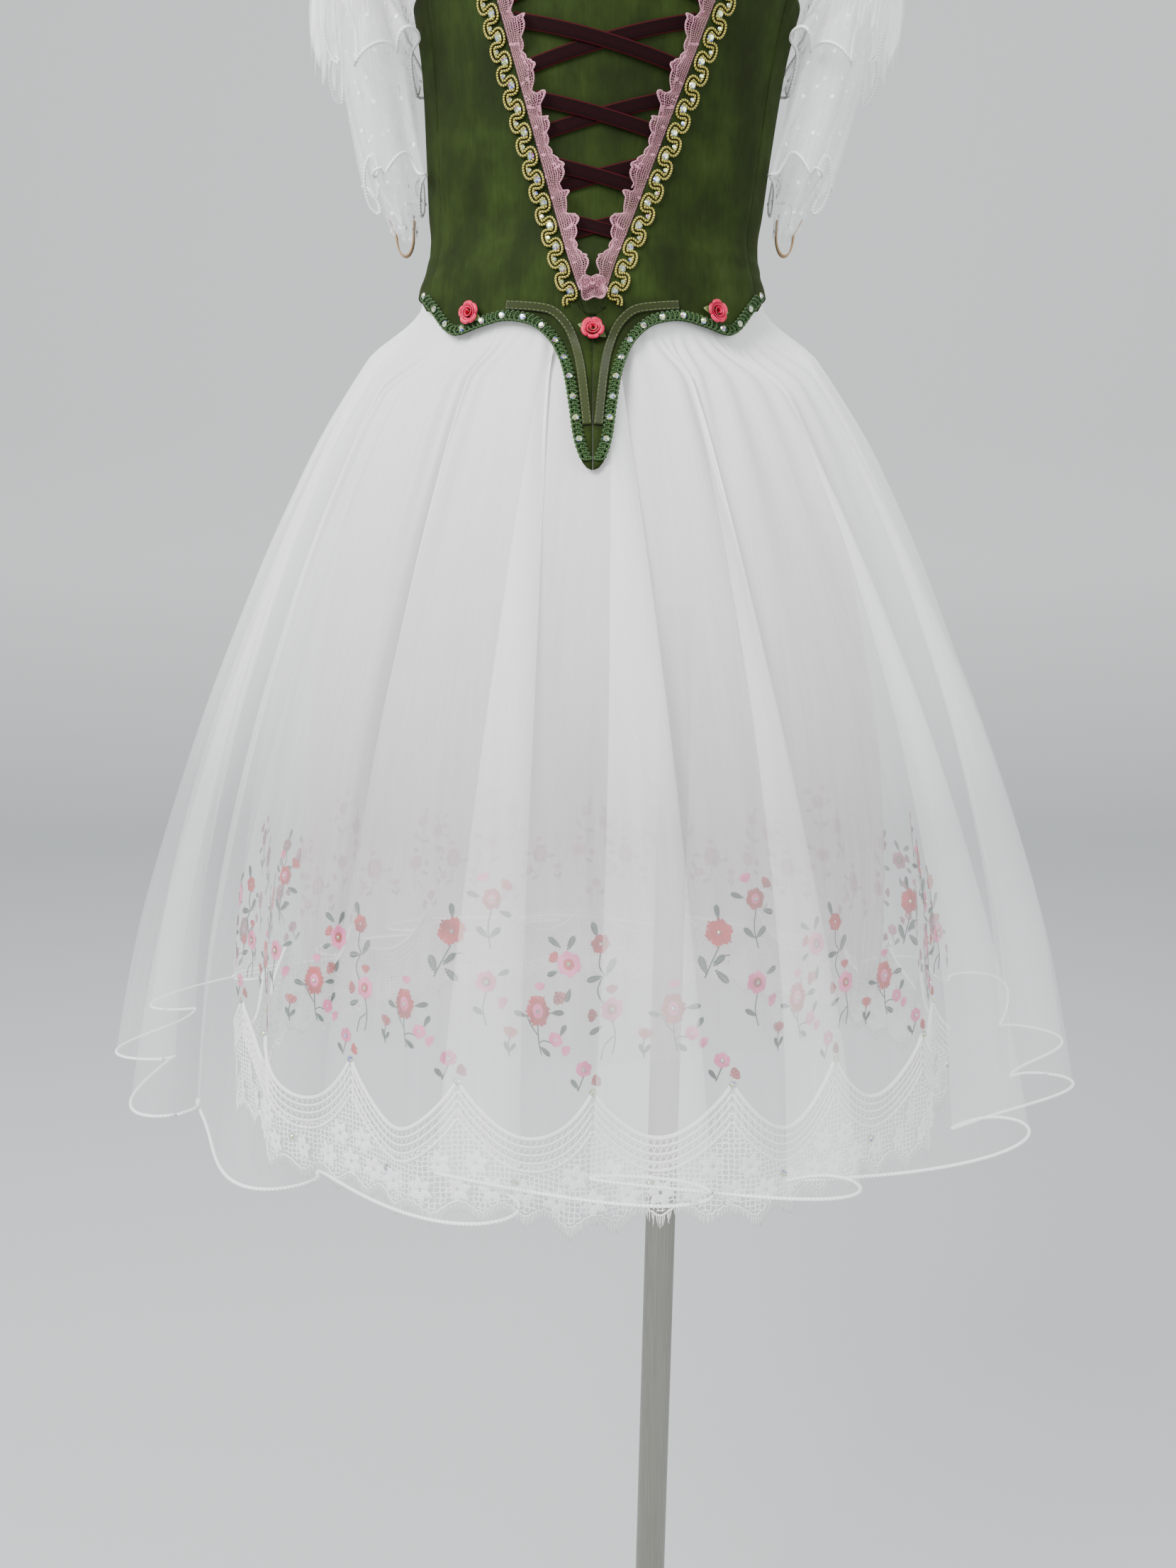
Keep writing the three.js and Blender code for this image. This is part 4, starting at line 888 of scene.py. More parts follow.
# Shapes of the skirts
def organza_point(angle, z, depth, overlap):
    """A long fold is a wave of the radius, with the cloth also shifted along the waist by
    overlap times the sine of the fold's turn, so that each crest hangs over the valley beside
    it. Small gathers fade out below the waist."""
    drop = skirt_top(angle) - z
    side, front, back = skirt_section(angle, z, "organza")
    turn = fold_turn(angle, ORGANZA_FOLDS, 0.9, 0.4) + 0.35 * np.sin(z / 210 + 3 * angle)
    share = organza_fold_depth(angle, z) / FOLD_DEPTH
    own = 0.85 + 0.3 * np.sin(2 * angle + 1) + 0.2 * np.sin(7 * angle + 2)
    fine = 1.6 * ease((drop - 20) / 25) * (1 - ease((drop - 60) / 240))
    fine = fine * np.cos(90 * angle + 2 * np.sin(3 * angle))
    middle = ease((drop - 26) / 120) * (1 - 0.7 * ease((drop - 330) / 220))
    middle = 2.8 * middle * np.cos(43 * angle + 1.5 * np.sin(4 * angle) + z / 150)
    shifted = angle + overlap * share ** 0.6 * own * np.sin(turn + 0.95) / side
    out = depth * share * fold_wave(turn) + fine + middle
    return on_section((side, front, back), shifted, z, out)


def organza_hem_z(angle):
    """The hem rises and falls by two waves, of 4 and of 7 to a round."""
    return 696 + 5 * np.sin(4 * angle + 1) + 4 * np.cos(7 * angle)


def hung(point, hem, rows, columns, power=1.15):
    """A hanging tube of cloth from the waist's edge down to its hem. Its UV is in metres: the
    run round the hem and the length down."""
    angle = full_turn(columns)[None]
    top = skirt_top(angle)
    down = (np.linspace(0, 1, rows)[:, None]) ** power
    z = top - (top - hem(angle)) * down
    angle = np.broadcast_to(angle, z.shape)
    points = point(angle, z)
    uv = np.stack([angle / TURN * 2.4, down * 0.56 + 0 * angle], axis=-1)
    return grid(points, uv, closed=True), points[-1]


def lace_top(angle):
    """Hanging scallops with pointed peaks between them: one less the sine to the power 0.8."""
    peak = 1 - np.abs(np.sin(LACE_SCALLOPS * angle / 2)) ** 0.8
    return LACE_VALLEY_Z + (LACE_PEAK_Z - LACE_VALLEY_Z) * peak


def lace_low(angle):
    """The lower edge: small pointed tongues, three to each scallop."""
    return LACE_HEM_Z + 7 * np.abs(np.cos(LACE_SCALLOPS * 1.5 * angle)) ** 1.5


def lace_point(angle, z, out):
    """A place on the lace, 1.1 mm off the tulle skirt and as far again as out."""
    return tulle_point(angle, z, 1.1 + out)


def outward(angle):
    """The level direction away from the skirt's middle."""
    return np.stack([np.sin(angle), -np.cos(angle), 0 * angle], axis=-1)


def lace_bars(count, upper, lower, lean):
    """Straight thread bars from one line of the lace to the next, each leaning by some steps."""
    a = np.arange(count) / count * TURN
    step = TURN / count
    b = a + lean * step
    start = lace_point(a, upper(a), 0.5)
    end = lace_point(b, lower(b), 0.5)
    paths = straight(start, end)
    out = np.broadcast_to(outward(a)[:, None], paths.shape)
    return cords(paths, 0.5, out, sides=3)


def petal(length, width, rise):
    """A pointed oval lying flat with a low rise along its middle; its root is at the origin."""
    t = np.linspace(0, 1, 6)[:, None]
    s = np.linspace(-1, 1, 5)[None]
    half = width / 2 * np.sin(np.pi * t ** 0.75) ** 0.8
    x = s * half
    y = t * length + 0 * s
    z = rise * (1 - s ** 2) * np.sin(np.pi * t) + 0.15
    return grid(np.stack([x, y, z], axis=-1)[::-1], np.stack([x, y], axis=-1)[::-1] / 1000)


def flower_shape(petals, length, width):
    """Equal petals turned about the flower's middle, their roots 1.1 mm from it."""
    shapes = []
    for k in range(petals):
        turn = k / petals * TURN
        c, s = np.cos(turn), np.sin(turn)
        axes = np.array([[[c, -s, 0], [s, c, 0], [0, 0, 1]]])
        shapes.append(stamped(petal(length, width, 0.5), np.array([[-s * 1.1, c * 1.1, 0]]), axes))
    return joined(shapes)


def stone_shape(radius):
    """A cut glass stone on its flat back: an eight-sided girdle, eight slanting facets that
    narrow to a table, and the table."""
    turn = np.arange(8) / 8 * TURN
    points = np.concatenate([
        np.stack([r * np.cos(turn + shift), r * np.sin(turn + shift), 0 * turn + z], -1)
        for r, z, shift in (
            (radius, 0, 0), (radius, radius * 0.25, 0), (radius * 0.55, radius * 0.72, np.pi / 8))])
    k = np.arange(8)
    n = (k + 1) % 8
    quads = np.stack([k, n, n + 8, k + 8], -1)
    tris = np.concatenate([
        np.stack([k + 8, n + 8, k + 16], -1), np.stack([n + 8, n + 16, k + 16], -1),
        np.stack([np.full(6, 16), k[:6] + 17, k[:6] + 18], -1),
        np.stack([np.full(6, 0), k[:6] + 2, k[:6] + 1], -1)])
    return points, quads, tris, points[:, :2] / 1000


# Embroidery: each stitch is a small ridge from one point to another, in millimetres, x along
# the skirt and y up, with a width
def stitches(start, end, width):
    """Rows of five numbers: a stitch's start, its end and its width."""
    start, end = np.asarray(start, float), np.asarray(end, float)
    return np.concatenate([start, end, np.full((len(start), 1), width)], axis=1)


def stitched_flower(x, y, radius, inner, petals, phase=0.3, squash=1.0, count=54):
    """Radial stitches from an inner to an outer outline, whose radius swells once for each petal
    and frays by a little noise."""
    turn = np.arange(count) / count * TURN
    ragged = 1 + 0.06 * np.sin(turn * 17 + x) + 0.05 * np.sin(turn * 29 + y)
    outer = radius * (0.80 + 0.20 * np.abs(np.cos(petals / 2 * (turn - phase))) ** 0.7) * ragged
    way = np.stack([np.cos(turn), squash * np.sin(turn)], axis=-1)
    at = np.array([x, y])
    return stitches(at + way * inner, at + way * outer[:, None], 1.15)


def stitched_leaf(x, y, turn, length, width, count=9):
    """Slanting stitches from a middle rib to a leaf's edge, alternately left and right."""
    t = np.linspace(0.05, 1, count)
    c, s = np.cos(turn), np.sin(turn)
    rib = np.array([x, y]) + t[:, None] * length * np.array([c, s])
    half = width / 2 * np.sin(np.pi * np.clip(t, 0, 0.97)) ** 0.6
    tips = []
    for side in (-1, 1):
        slant = np.array([c, s]) * 0.9 + side * np.array([-s, c])
        tips.append(stitches(rib, rib + half[:, None] * slant, 0.8))
    return np.concatenate(tips)


def stitched_stem(line, count):
    """Stitches end to end along a smooth line."""
    points = rounded(line, count + 1)
    return stitches(points[:-1], points[1:], 0.75)


def sprig(kind):
    """Three colours of stitches and the places of the stones for one bouquet, about 86 mm wide.
    The two kinds take turns round the skirt."""
    red, pink, green, stones = [], [], [], []

    # Each adds its stitches to the colours it is given; a stone sits in a flower's middle
    def flower(x, y, r, outer, core, petals=6, squash=1.0, stone=True):
        outer.append(stitched_flower(x, y, r, r * 0.45, petals, 0.3 + x, squash))
        core.append(stitched_flower(x, y, r * 0.55, 0.9, petals, 0.3 + x, squash, 36))
        if stone:
            stones.append((x, y))

    def bud(x, y, r, into, turn):
        for k in (-0.55, 0.0, 0.55):
            into.append(stitched_leaf(x, y, turn + k, r * 1.5, r * 0.9, 6))

    def leaf(x, y, turn, length):
        green.append(stitched_leaf(x, y, turn, length, length * 0.42))

    def stem(*line):
        green.append(stitched_stem(line, 7))

    # The low row, the same in both kinds: a small flower with a bud, a pink pair and a tulip
    flower(0, 750, 4.6, pink, pink, 6)
    bud(4.5, 741, 3.6, red, 0.4)
    stem((0, 746), (-2, 741), (-3.5, 737))
    leaf(-3, 738, 2.2, 7)
    flower(-17, 766, 4.2, pink, pink, 5, stone=False)
    bud(-13, 762, 3.2, pink, -0.5)
    stem((-17, 763), (-24, 764), (-28, 762))
    leaf(-14, 769, 1.1, 7)
    bud(-47, 763, 4.4, red, 1.4)
    stem((-47, 763), (-48, 757), (-47, 752))
    leaf(-47, 754, 2.0, 7)
    leaf(-47, 755, 0.9, 6)
    # The middle row: a large flower with leaves and a pink bud
    flower(-28.5, 781, 7.6, red, pink, 6, 1.25)
    bud(-27, 793, 3.2, pink, 1.7)
    stem((-28.5, 773), (-28, 764), (-26, 755))
    stem((-28, 766), (-33, 772), (-36, 778))
    leaf(-36, 777, 2.9, 8)
    leaf(-20, 781, 0.2, 8)
    leaf(-27, 760, -0.6, 7.5)
    if kind == "lilac":
        flower(-9, 811, 7.4, pink, red, 6)
        leaf(-10, 819, 1.1, 9)
        leaf(-14, 820, 2.6, 9)
        bud(-16, 812, 3.6, red, 2.5)
        leaf(-16, 806, 3.6, 7)
        bud(-17, 794, 4.6, red, -0.9)
        leaf(-8, 797, -1.9, 8)
        flower(10, 822, 5.6, red, red, 6, stone=False)
        leaf(8, 826, 1.9, 9)
        stem((10, 817), (9, 810), (12, 804))
        leaf(13, 803, 1.0, 11)
        leaf(11, 803, 3.3, 9)
        stem((12, 804), (8, 795), (12, 786))
        flower(17, 783, 7.0, pink, red, 6)
        bud(17, 792, 3.4, red, 1.6)
        bud(8, 781, 3.6, red, 3.1)
        leaf(11, 774, 3.6, 8)
        stem((17, 777), (19, 766), (17, 756))
        stem((18, 767), (12, 762), (10, 754))
    else:
        flower(0, 826, 8.2, red, red, 6)
        leaf(0, 834, 1.7, 8)
        stem((0, 818), (-5, 808), (-9, 799))
        stem((-4, 808), (2, 812), (6, 813))
        leaf(-8, 801, 1.9, 11)
        leaf(-4, 806, 0.8, 9)
        leaf(-3, 804, -0.8, 10)
        flower(24, 845, 6.4, red, pink, 6)
        bud(19, 855, 3.6, pink, 1.9)
        bud(31, 851, 4.0, red, 0.9)
        leaf(16, 846, 2.8, 8)
        leaf(29, 838, -0.3, 8)
        stem((24, 839), (22, 828), (24, 816))
        leaf(22, 822, 2.4, 9)
        leaf(23, 822, 0.7, 9)
        flower(22, 796, 6.6, pink, red, 6)
        leaf(29, 800, 0.4, 8)
        stem((22, 790), (20, 780), (22, 770))
        leaf(21, 776, 2.6, 8)
        bud(30, 786, 3.8, pink, -0.6)
    return [np.concatenate(red), np.concatenate(pink), np.concatenate(green)], np.array(stones)


def stitch_mesh(rows, angles):
    """Lays one bouquet's stitches on the skirt at each angle: a stitch becomes a ridge of two
    faces, its foot on the cloth and its back 0.35 mm above it."""
    start, end, width = rows[:, :2], rows[:, 2:4], rows[:, 4:5]
    along = unit(end - start)
    side = np.stack([-along[:, 1], along[:, 0]], axis=-1) * width / 2
    flat = np.stack([start - side, start, start + side, end - side, end, end + side], axis=1)
    lift = np.array([0.0, 0.45, 0.0, 0.0, 0.35, 0.0])
    x = flat[None, ..., 0]
    z = flat[None, ..., 1]
    angle = angles[:, None, None] + x / STITCH_RADIUS
    z = z + 0 * angle
    points = tulle_point(angle, z, 0.62 + lift)
    count = points.shape[0] * points.shape[1]
    corner = np.arange(count)[:, None] * 6
    quads = np.concatenate([corner + np.array([[1, 0, 3, 4]]), corner + np.array([[2, 1, 4, 5]])])
    return points.reshape(-1, 3), quads, no_faces(3), np.tile([[0.0, 0.0]], (count * 6, 1))


# Shapes of the sleeves
def sleeve_skin(sign, rows=60, columns=72):
    """The sleeve's tube through its rings, with nine soft waves 0.7 mm high that wind down it."""
    ring = np.linspace(0, 7, rows)[:, None]
    angle = full_turn(columns)[None]
    points = sleeve_point(sign, angle, ring, 0.7 * np.sin(9 * angle + 1.3 * ring))
    return points, stacked(angle / TURN * 0.3, ring / 7 * 0.34)


def flounce_point(sign, angle, start, end, down, flare, depth, waves, lean):
    """A flounce leaves the sleeve at one ring and hangs to a lower one: it stands off by flare,
    and its free edge swings in and out by depth and along the ring by lean, so that it turns
    under itself as gathered tulle does."""
    body = np.clip((-np.sin(angle) - 0.72) / 0.28, 0, 1)
    room = 1 - 0.85 * ease(body)
    turn = waves * angle + 0.8 * np.sin(3 * angle + start)
    swing = depth * np.cos(turn) * down ** 1.2
    shifted = angle + lean * down ** 1.3 * np.sin(turn + 0.9) * room
    dip = 0.3 * np.sin(turn * 0.5 + start) + 0.2 * np.sin(turn)
    ring = start + (end - start) * down + dip * down
    room = room * (1 - 0.5 * ease(np.clip(np.sin(angle) * 2 - 0.2, 0, 1)))
    flap = 11 * down * np.exp(-((np.mod(angle + np.pi, TURN) - np.pi + 0.72) / 0.42) ** 2)
    out = 1.4 + (flare * down + swing + flap) * room + 1.2 * down
    return sleeve_point(sign, shifted, ring, out)


def flounce_shape(sign, start, end, flare, depth, waves, lean):
    """A flounce's points with 30 columns to a wave, from its seam down to its free edge."""
    angle = full_turn(30 * waves)[None]
    down = np.linspace(0, 1, 22)[:, None]
    points = flounce_point(sign, angle, start, end, down, flare, depth, waves, lean)
    return points, stacked(angle / TURN * 0.5, down * 0.08)


def dots_on(points, spacing):
    """Flocked dots: low seven-sided cones at every fifth row of a sheet's points and every few
    columns, each row shifted by half a step."""
    rows, columns = points.shape[:2]
    places, outs = [], []
    down = np.gradient(points, axis=0)
    right = np.roll(points, -1, axis=1) - np.roll(points, 1, axis=1)
    normal = unit(np.cross(down, right))
    for n, r in enumerate(range(DOT_ROWS // 2, rows - 1, DOT_ROWS)):
        c = np.arange((n % 2) * spacing // 2, columns, spacing)
        places.append(points[r, c] + 0.2 * normal[r, c])
        outs.append(normal[r, c])
    turn = np.arange(7) / 7 * TURN
    disc = np.stack([DOT_RADIUS * np.cos(turn), DOT_RADIUS * np.sin(turn), 0 * turn], -1)
    disc = np.concatenate([disc, [[0, 0, 0.25]]])
    k = np.arange(7)
    tris = np.stack([k, (k + 1) % 7, 0 * k + 7], -1)
    places, outs = np.concatenate(places), np.concatenate(outs)
    return stamped((disc, no_faces(4), tris, disc[:, :2] / 1000), places, axes_from(outs))


def frayed_fan(sign):
    """The outer fan: plain tulle in fine pleats with a jagged raw edge, round the outside of
    the arm from the front to the back of the shoulder. Each pleat is one wave of the radius,
    which deepens down to the edge."""
    pleats = 54
    angle = np.linspace(-0.25 * np.pi, 1.25 * np.pi, pleats * 8)[None]
    down = np.linspace(0, 1, 16)[:, None]
    turn = pleats * (angle + 0.25 * np.pi) / 1.5 / np.pi * TURN
    jag = 0.16 * np.sin(turn * 0.37 + 1) + 0.12 * np.sin(turn * 1.7)
    ring = 1.0 + (2.9 + jag) * down + 0 * angle
    out = 5.0 + 15 * down ** 0.8 + 3.2 * down * np.sin(turn)
    room = ease(np.clip(1 + 1.4 * np.sin(angle), 0, 1))
    points = sleeve_point(sign, angle, ring, out * room + 1.0)
    return points, stacked(angle / TURN * 0.5, down * 0.09)


def sided(points, uv, sign, closed):
    """A sleeve's grid with its faces outwards on either side of the body."""
    if sign < 0:
        return grid(points[:, ::-1], uv[:, ::-1], closed)
    return grid(points, uv, closed)


def elastic_shape(sign):
    """A flat loop: down one side of the cuff, round a half circle below it and up the other."""
    s = np.linspace(0, 1, 60)
    legs = 0.25
    t = np.clip(np.where(s < 0.5, s, 1 - s), 0, legs) / legs
    z = 1298 + (1287 - 1298) * t
    rise = (z - 1286) / 16
    in_x, out_x = 130 + 0 * rise, 146 + 8 * rise
    reach = (out_x - in_x) / 2 - 2.0
    middle = middle_x(z) + sign * (in_x + out_x) / 2
    turn = np.clip((s - legs) / (1 - 2 * legs), 0, 1) * np.pi
    path = np.stack([middle - reach * np.cos(turn), 0 * s, z - 14 * np.sin(turn)], -1)
    along = unit(np.gradient(path, axis=0))
    out = np.stack([along[:, 2], 0 * s, -along[:, 0]], -1)
    half = np.linspace(-3, 3, 7)[None, :, None] * np.array([0, 1.0, 0])
    outer = path[:, None] + 0.6 * out[:, None] + half
    inner = path[:, None] - 0.6 * out[:, None] + half
    shape = walled(outer, inner, False)
    # The loop's volume is negative where its faces look inwards
    a, b, c = (shape[0][shape[1][:, k]] for k in range(3))
    volume = np.einsum("ij,ij->i", np.cross(a, b), c)
    return shape if volume.sum() > 0 else turned(shape)


# Shapes of the trims
def braid_frame(sign, s, across):
    """A place on a braid: s along it from the V's foot, across towards the side seam."""
    slope = np.hypot(1, V_SLOPE)
    z = V_POINT_Z + 8 + s / slope - across * V_SLOPE / slope
    x = v_half(V_POINT_Z + 8 + s / slope) + 7.1 + across / slope
    return x * sign, z


def braid_paths(sign, length, pitch):
    """A meander: across = 4.3 cos, along = steady plus 2.2 sin of twice the turn, so that each
    loop nearly closes on its neighbour. Two cords lie side by side, square to its line."""
    n = int(round(length / pitch))
    turn = np.linspace(0, n * TURN, n * 28 + 1)
    s = length * turn / (n * TURN) + 2.2 * np.sin(2 * turn)
    c = 4.3 * np.cos(turn)
    along = unit(np.stack([np.gradient(s), np.gradient(c)], -1))
    lines = []
    for side in (-BRAID_CORD_GAP, BRAID_CORD_GAP):
        x, z = braid_frame(sign, s - side * along[:, 1], c + side * along[:, 0])
        lines.append(on_bodice(x, z, VELVET + 1.55))
    x, z = braid_frame(sign, s, c)
    return np.stack(lines), bodice_normal(x, z), n


def strip(middle, across, out, half, thick, crown=0.0, columns=7):
    """A flat band along a path with a slightly raised middle: two faces joined at the edges."""
    u = np.linspace(-1, 1, columns)[None, :, None]
    base = middle[:, None] + u * half * across[:, None]
    top = base + (thick / 2 + crown * (1 - u ** 2)) * out[:, None]
    low = base - thick / 2 * out[:, None]
    shape = walled(top, low, False)
    uv = shape[3].copy()
    uv[:, 0] = np.tile(np.broadcast_to(u[..., 0], base.shape[:2]).ravel(), 2)
    run = np.cumsum(np.linalg.norm(np.gradient(middle, axis=0), axis=1)) / 1000
    uv[:, 1] = np.tile(np.repeat(run, columns), 2)
    points, quads, tris, _ = shape
    face = points[quads[0]]
    normal = np.cross(face[1] - face[0], face[2] - face[0])
    if normal @ out[0] < 0:
        quads = quads[:, ::-1]
    return points, quads, tris, uv


def laid_strip(line, count, lift, half, thick, crown=0.0, back=False):
    """A band laid on the bodice along a line of x and z."""
    at = rounded(line, count)
    middle = on_bodice(at[:, 0], at[:, 1], lift, back)
    out = bodice_normal(at[:, 0], at[:, 1], back)
    across = unit(np.cross(unit(np.gradient(middle, axis=0)), out))
    return strip(middle, across, out, half, thick, crown)


def frill_shape(sign):
    """Pink lace gathered along the V: the root follows the V's edge, and the free edge waves in
    and out of the bodice's face and doubles back along itself. Its edge is small scallops."""
    t = np.linspace(0, 1, 600)[None]
    v = np.linspace(0, 1, 14)[:, None]
    z0 = V_POINT_Z + 16 + (NECK_Z - 4 - V_POINT_Z - 16) * t
    uneven = 1.0 + 0.25 * np.sin(11 * t + 1) + 0.15 * np.sin(29 * t)
    turn = 12 * TURN * t + 1.3 * np.sin(TURN * 4 * t)
    width = 11.5 * np.minimum(1, (v_half(z0) - 0.4) / 12) * (0.92 + 0.08 * np.cos(turn * 0.5))
    width = width + (1.7 * np.abs(np.sin(np.pi * 41 * t)) + 2.0 * np.sin(turn + 1) - 1.2) * v ** 2
    lift = 2.3 + 3.2 * v ** 0.7 + 3.0 * uneven * v * np.cos(turn)
    shift = 2.0 * uneven * v ** 1.3 * np.sin(turn + 1.2)
    z = z0 + shift
    x = sign * (v_half(z0) - 0.3 - width * v)
    points = on_bodice(x + 0 * z, z, VELVET + lift)
    return points, stacked(t * 0.46, v * 0.013)


def bow_shape():
    """The bunch of lace where the two frills meet at the V's foot: 1.6 turns of a ring whose
    free edge ruffles five times a turn and climbs over its own start."""
    t = np.linspace(0, 1, 160)[None]
    v = np.linspace(0, 1, 12)[:, None]
    turn = t * TURN * 1.6
    radius = 0.2 + (8.6 + 1.3 * np.sin(turn * 4.3)) * v ** 0.8
    x = radius * np.cos(turn - 0.6)
    z = V_POINT_Z + 17 + radius * np.sin(turn - 0.6) * 0.85
    lift = 3.0 + 3.2 * v + 2.4 * v * np.sin(turn * 5) + 1.2 * turn / TURN
    points = on_bodice(x, z, VELVET + lift)
    return points, stacked(t * 0.09, v * 0.011)


def gimp_line(back):
    """The basque's edge from beside the centre to the side, as 400 points."""
    line = rounded(BACK_EDGE if back else FRONT_EDGE, 400)
    line = line[(line[:, 0] > 3.6) & (line[:, 0] < 118.5)]
    return resampled(line, 400)


def gimp_paths(sign, back):
    """Looped cord: one cord laid in flat loops 7 mm across that overlap as they step along the
    edge by 3.3 mm, each over the one before it, and a core cord along their middle."""
    line = gimp_line(back)
    length = np.linalg.norm(np.diff(line, axis=0), axis=1).sum()
    loops = int(length / GIMP_STEP)
    t = np.linspace(0, 1, loops * 16)
    k = t * (len(line) - 1)
    x = np.interp(k, np.arange(len(line)), line[:, 0])
    z = np.interp(k, np.arange(len(line)), line[:, 1])
    along = unit(np.stack([np.gradient(x), np.gradient(z)], -1))
    turn = loops * TURN * t
    paths = []
    for c, s, lift in (
            (3.1 * np.sin(turn), 1.9 * np.cos(turn + 0.5), 2.1 + 0.75 * np.cos(turn + 0.5)),
            (0.25 * np.sin(turn), 0 * turn, 1.35 + 0 * turn)):
        px = x - c * along[:, 1] + s * along[:, 0]
        pz = z + c * along[:, 0] + s * along[:, 1]
        paths.append(on_bodice(sign * px, pz, VELVET + lift, back))
    normal = bodice_normal(sign * x, z, back)
    return np.stack(paths), np.broadcast_to(normal, (2,) + normal.shape), line


def rose_shape(radius, height):
    """A ribbon rolled up and folded: a spiral wall of 3.2 turns whose radius grows with the
    turn and whose upper edge rolls outwards, in scallops, over five broad outer petals."""
    t = np.linspace(0, 1, 150)[None]
    v = np.linspace(0, 1, 9)[:, None]
    turn = 3.2 * TURN * t
    r = radius * (0.10 + 0.62 * t ** 0.85) * (1 + 0.05 * np.sin(turn * 1.9))
    roll = v ** 2.4 * radius * (0.10 + 0.16 * t)
    rise = height * (1.0 - 0.30 * t) * (v - 0.28 * v ** 4) + 0.5 * v * np.sin(turn * 1.6)
    inner = stacked((r + roll) * np.cos(turn), (r + roll) * np.sin(turn), rise)
    shapes = [walled(inner[::-1], (inner - 0.25 * unit(inner * [1, 1, 0]))[::-1], False)]
    for k in range(5):
        a = np.linspace(-0.62, 0.62, 15)[None] + k * TURN / 5
        u = (a - k * TURN / 5) / 0.62
        v2 = np.linspace(0, 1, 9)[:, None]
        r2 = radius * (0.45 + 0.60 * v2 * (1 - 0.28 * u ** 4))
        z2 = 0.4 + height * 0.62 * np.sin(v2 * 2.2) * (1 - 0.15 * u ** 2) - 0.4 * v2 ** 3
        out = stacked(r2 * np.cos(a), r2 * np.sin(a), z2 + 0 * a)
        low = out - np.array([0, 0, 0.3])
        shapes.append(walled(out[:, ::-1], low[:, ::-1], False))
    return joined(shapes)


def leaf_shape(length, width):
    """A folded ribbon leaf: a pointed oval with a crease along its middle."""
    t = np.linspace(0, 1, 14)[:, None]
    s = np.linspace(-1, 1, 9)[None]
    half = width / 2 * np.sin(np.pi * t ** 0.8) ** 0.8 + 0.02
    top = stacked(s * half, t * length, 0.5 + 0.9 * np.abs(s) * np.sin(np.pi * t))
    low = top - np.array([0, 0, 0.3])
    return walled(top[::-1], low[::-1], False)


# Settings that a user may change
class DressSizes(bpy.types.PropertyGroup):
    """Sizes of the cloth and the trims."""

    fold_depth: bpy.props.FloatProperty(
        name="Fold depth", description="How deep the organza's long folds are at the hem",
        default=0.021, min=0.0, max=0.03, unit="LENGTH")
    fold_overlap: bpy.props.FloatProperty(
        name="Fold overlap", description="How far the organza's folds hang over each other",
        default=0.045, min=0.0, max=0.07, unit="LENGTH")
    hem_cord: bpy.props.FloatProperty(
        name="Hem cord", description="Thickness of the organza's corded hem",
        default=0.0022, min=0.001, max=0.004, unit="LENGTH")
    braid_pitch: bpy.props.FloatProperty(
        name="Braid pitch", description="Length of one loop of the gold braid",
        default=0.0156, min=0.010, max=0.025, unit="LENGTH")
    ribbon_width: bpy.props.FloatProperty(
        name="Ribbon width", description="Width of the crossed velvet ribbons",
        default=0.009, min=0.004, max=0.012, unit="LENGTH")
    stone_width: bpy.props.FloatProperty(
        name="Stone width", description="Width of the glass stones on the gold braid",
        default=0.0052, min=0.003, max=0.008, unit="LENGTH")
    rose_width: bpy.props.FloatProperty(
        name="Rose width", description="Width of the ribbon roses",
        default=0.0155, min=0.010, max=0.025, unit="LENGTH")


class DressColours(bpy.types.PropertyGroup):
    """Colours of the sheer cloths and the backdrop."""

    organza: bpy.props.FloatVectorProperty(
        name="Organza", description="Colour of the organza skirt", subtype="COLOR",
        size=4, default=colour("ffffff"), min=0, max=1)
    # Its default is the petticoat's pale pink darkened with painted shade, for the shade between
    # the skirt's layers
    petticoat: bpy.props.FloatVectorProperty(
        name="Petticoat", description="Colour of the petticoat", subtype="COLOR",
        size=4, default=colour("c3b5ba"), min=0, max=1)
    backdrop: bpy.props.FloatVectorProperty(
        name="Backdrop", description="Colour of the floor and the backdrop", subtype="COLOR",
        size=4, default=colour("bdc1c2"), min=0, max=1)


class DRESS_OT_materials(bpy.types.Operator):
    """Make every material of the dress, the form and the stand"""

    bl_idname = "dress.materials"
    bl_label = "Materials"

    def execute(self, context):
        make_materials(context.scene.dress_colours)
        return {"FINISHED"}


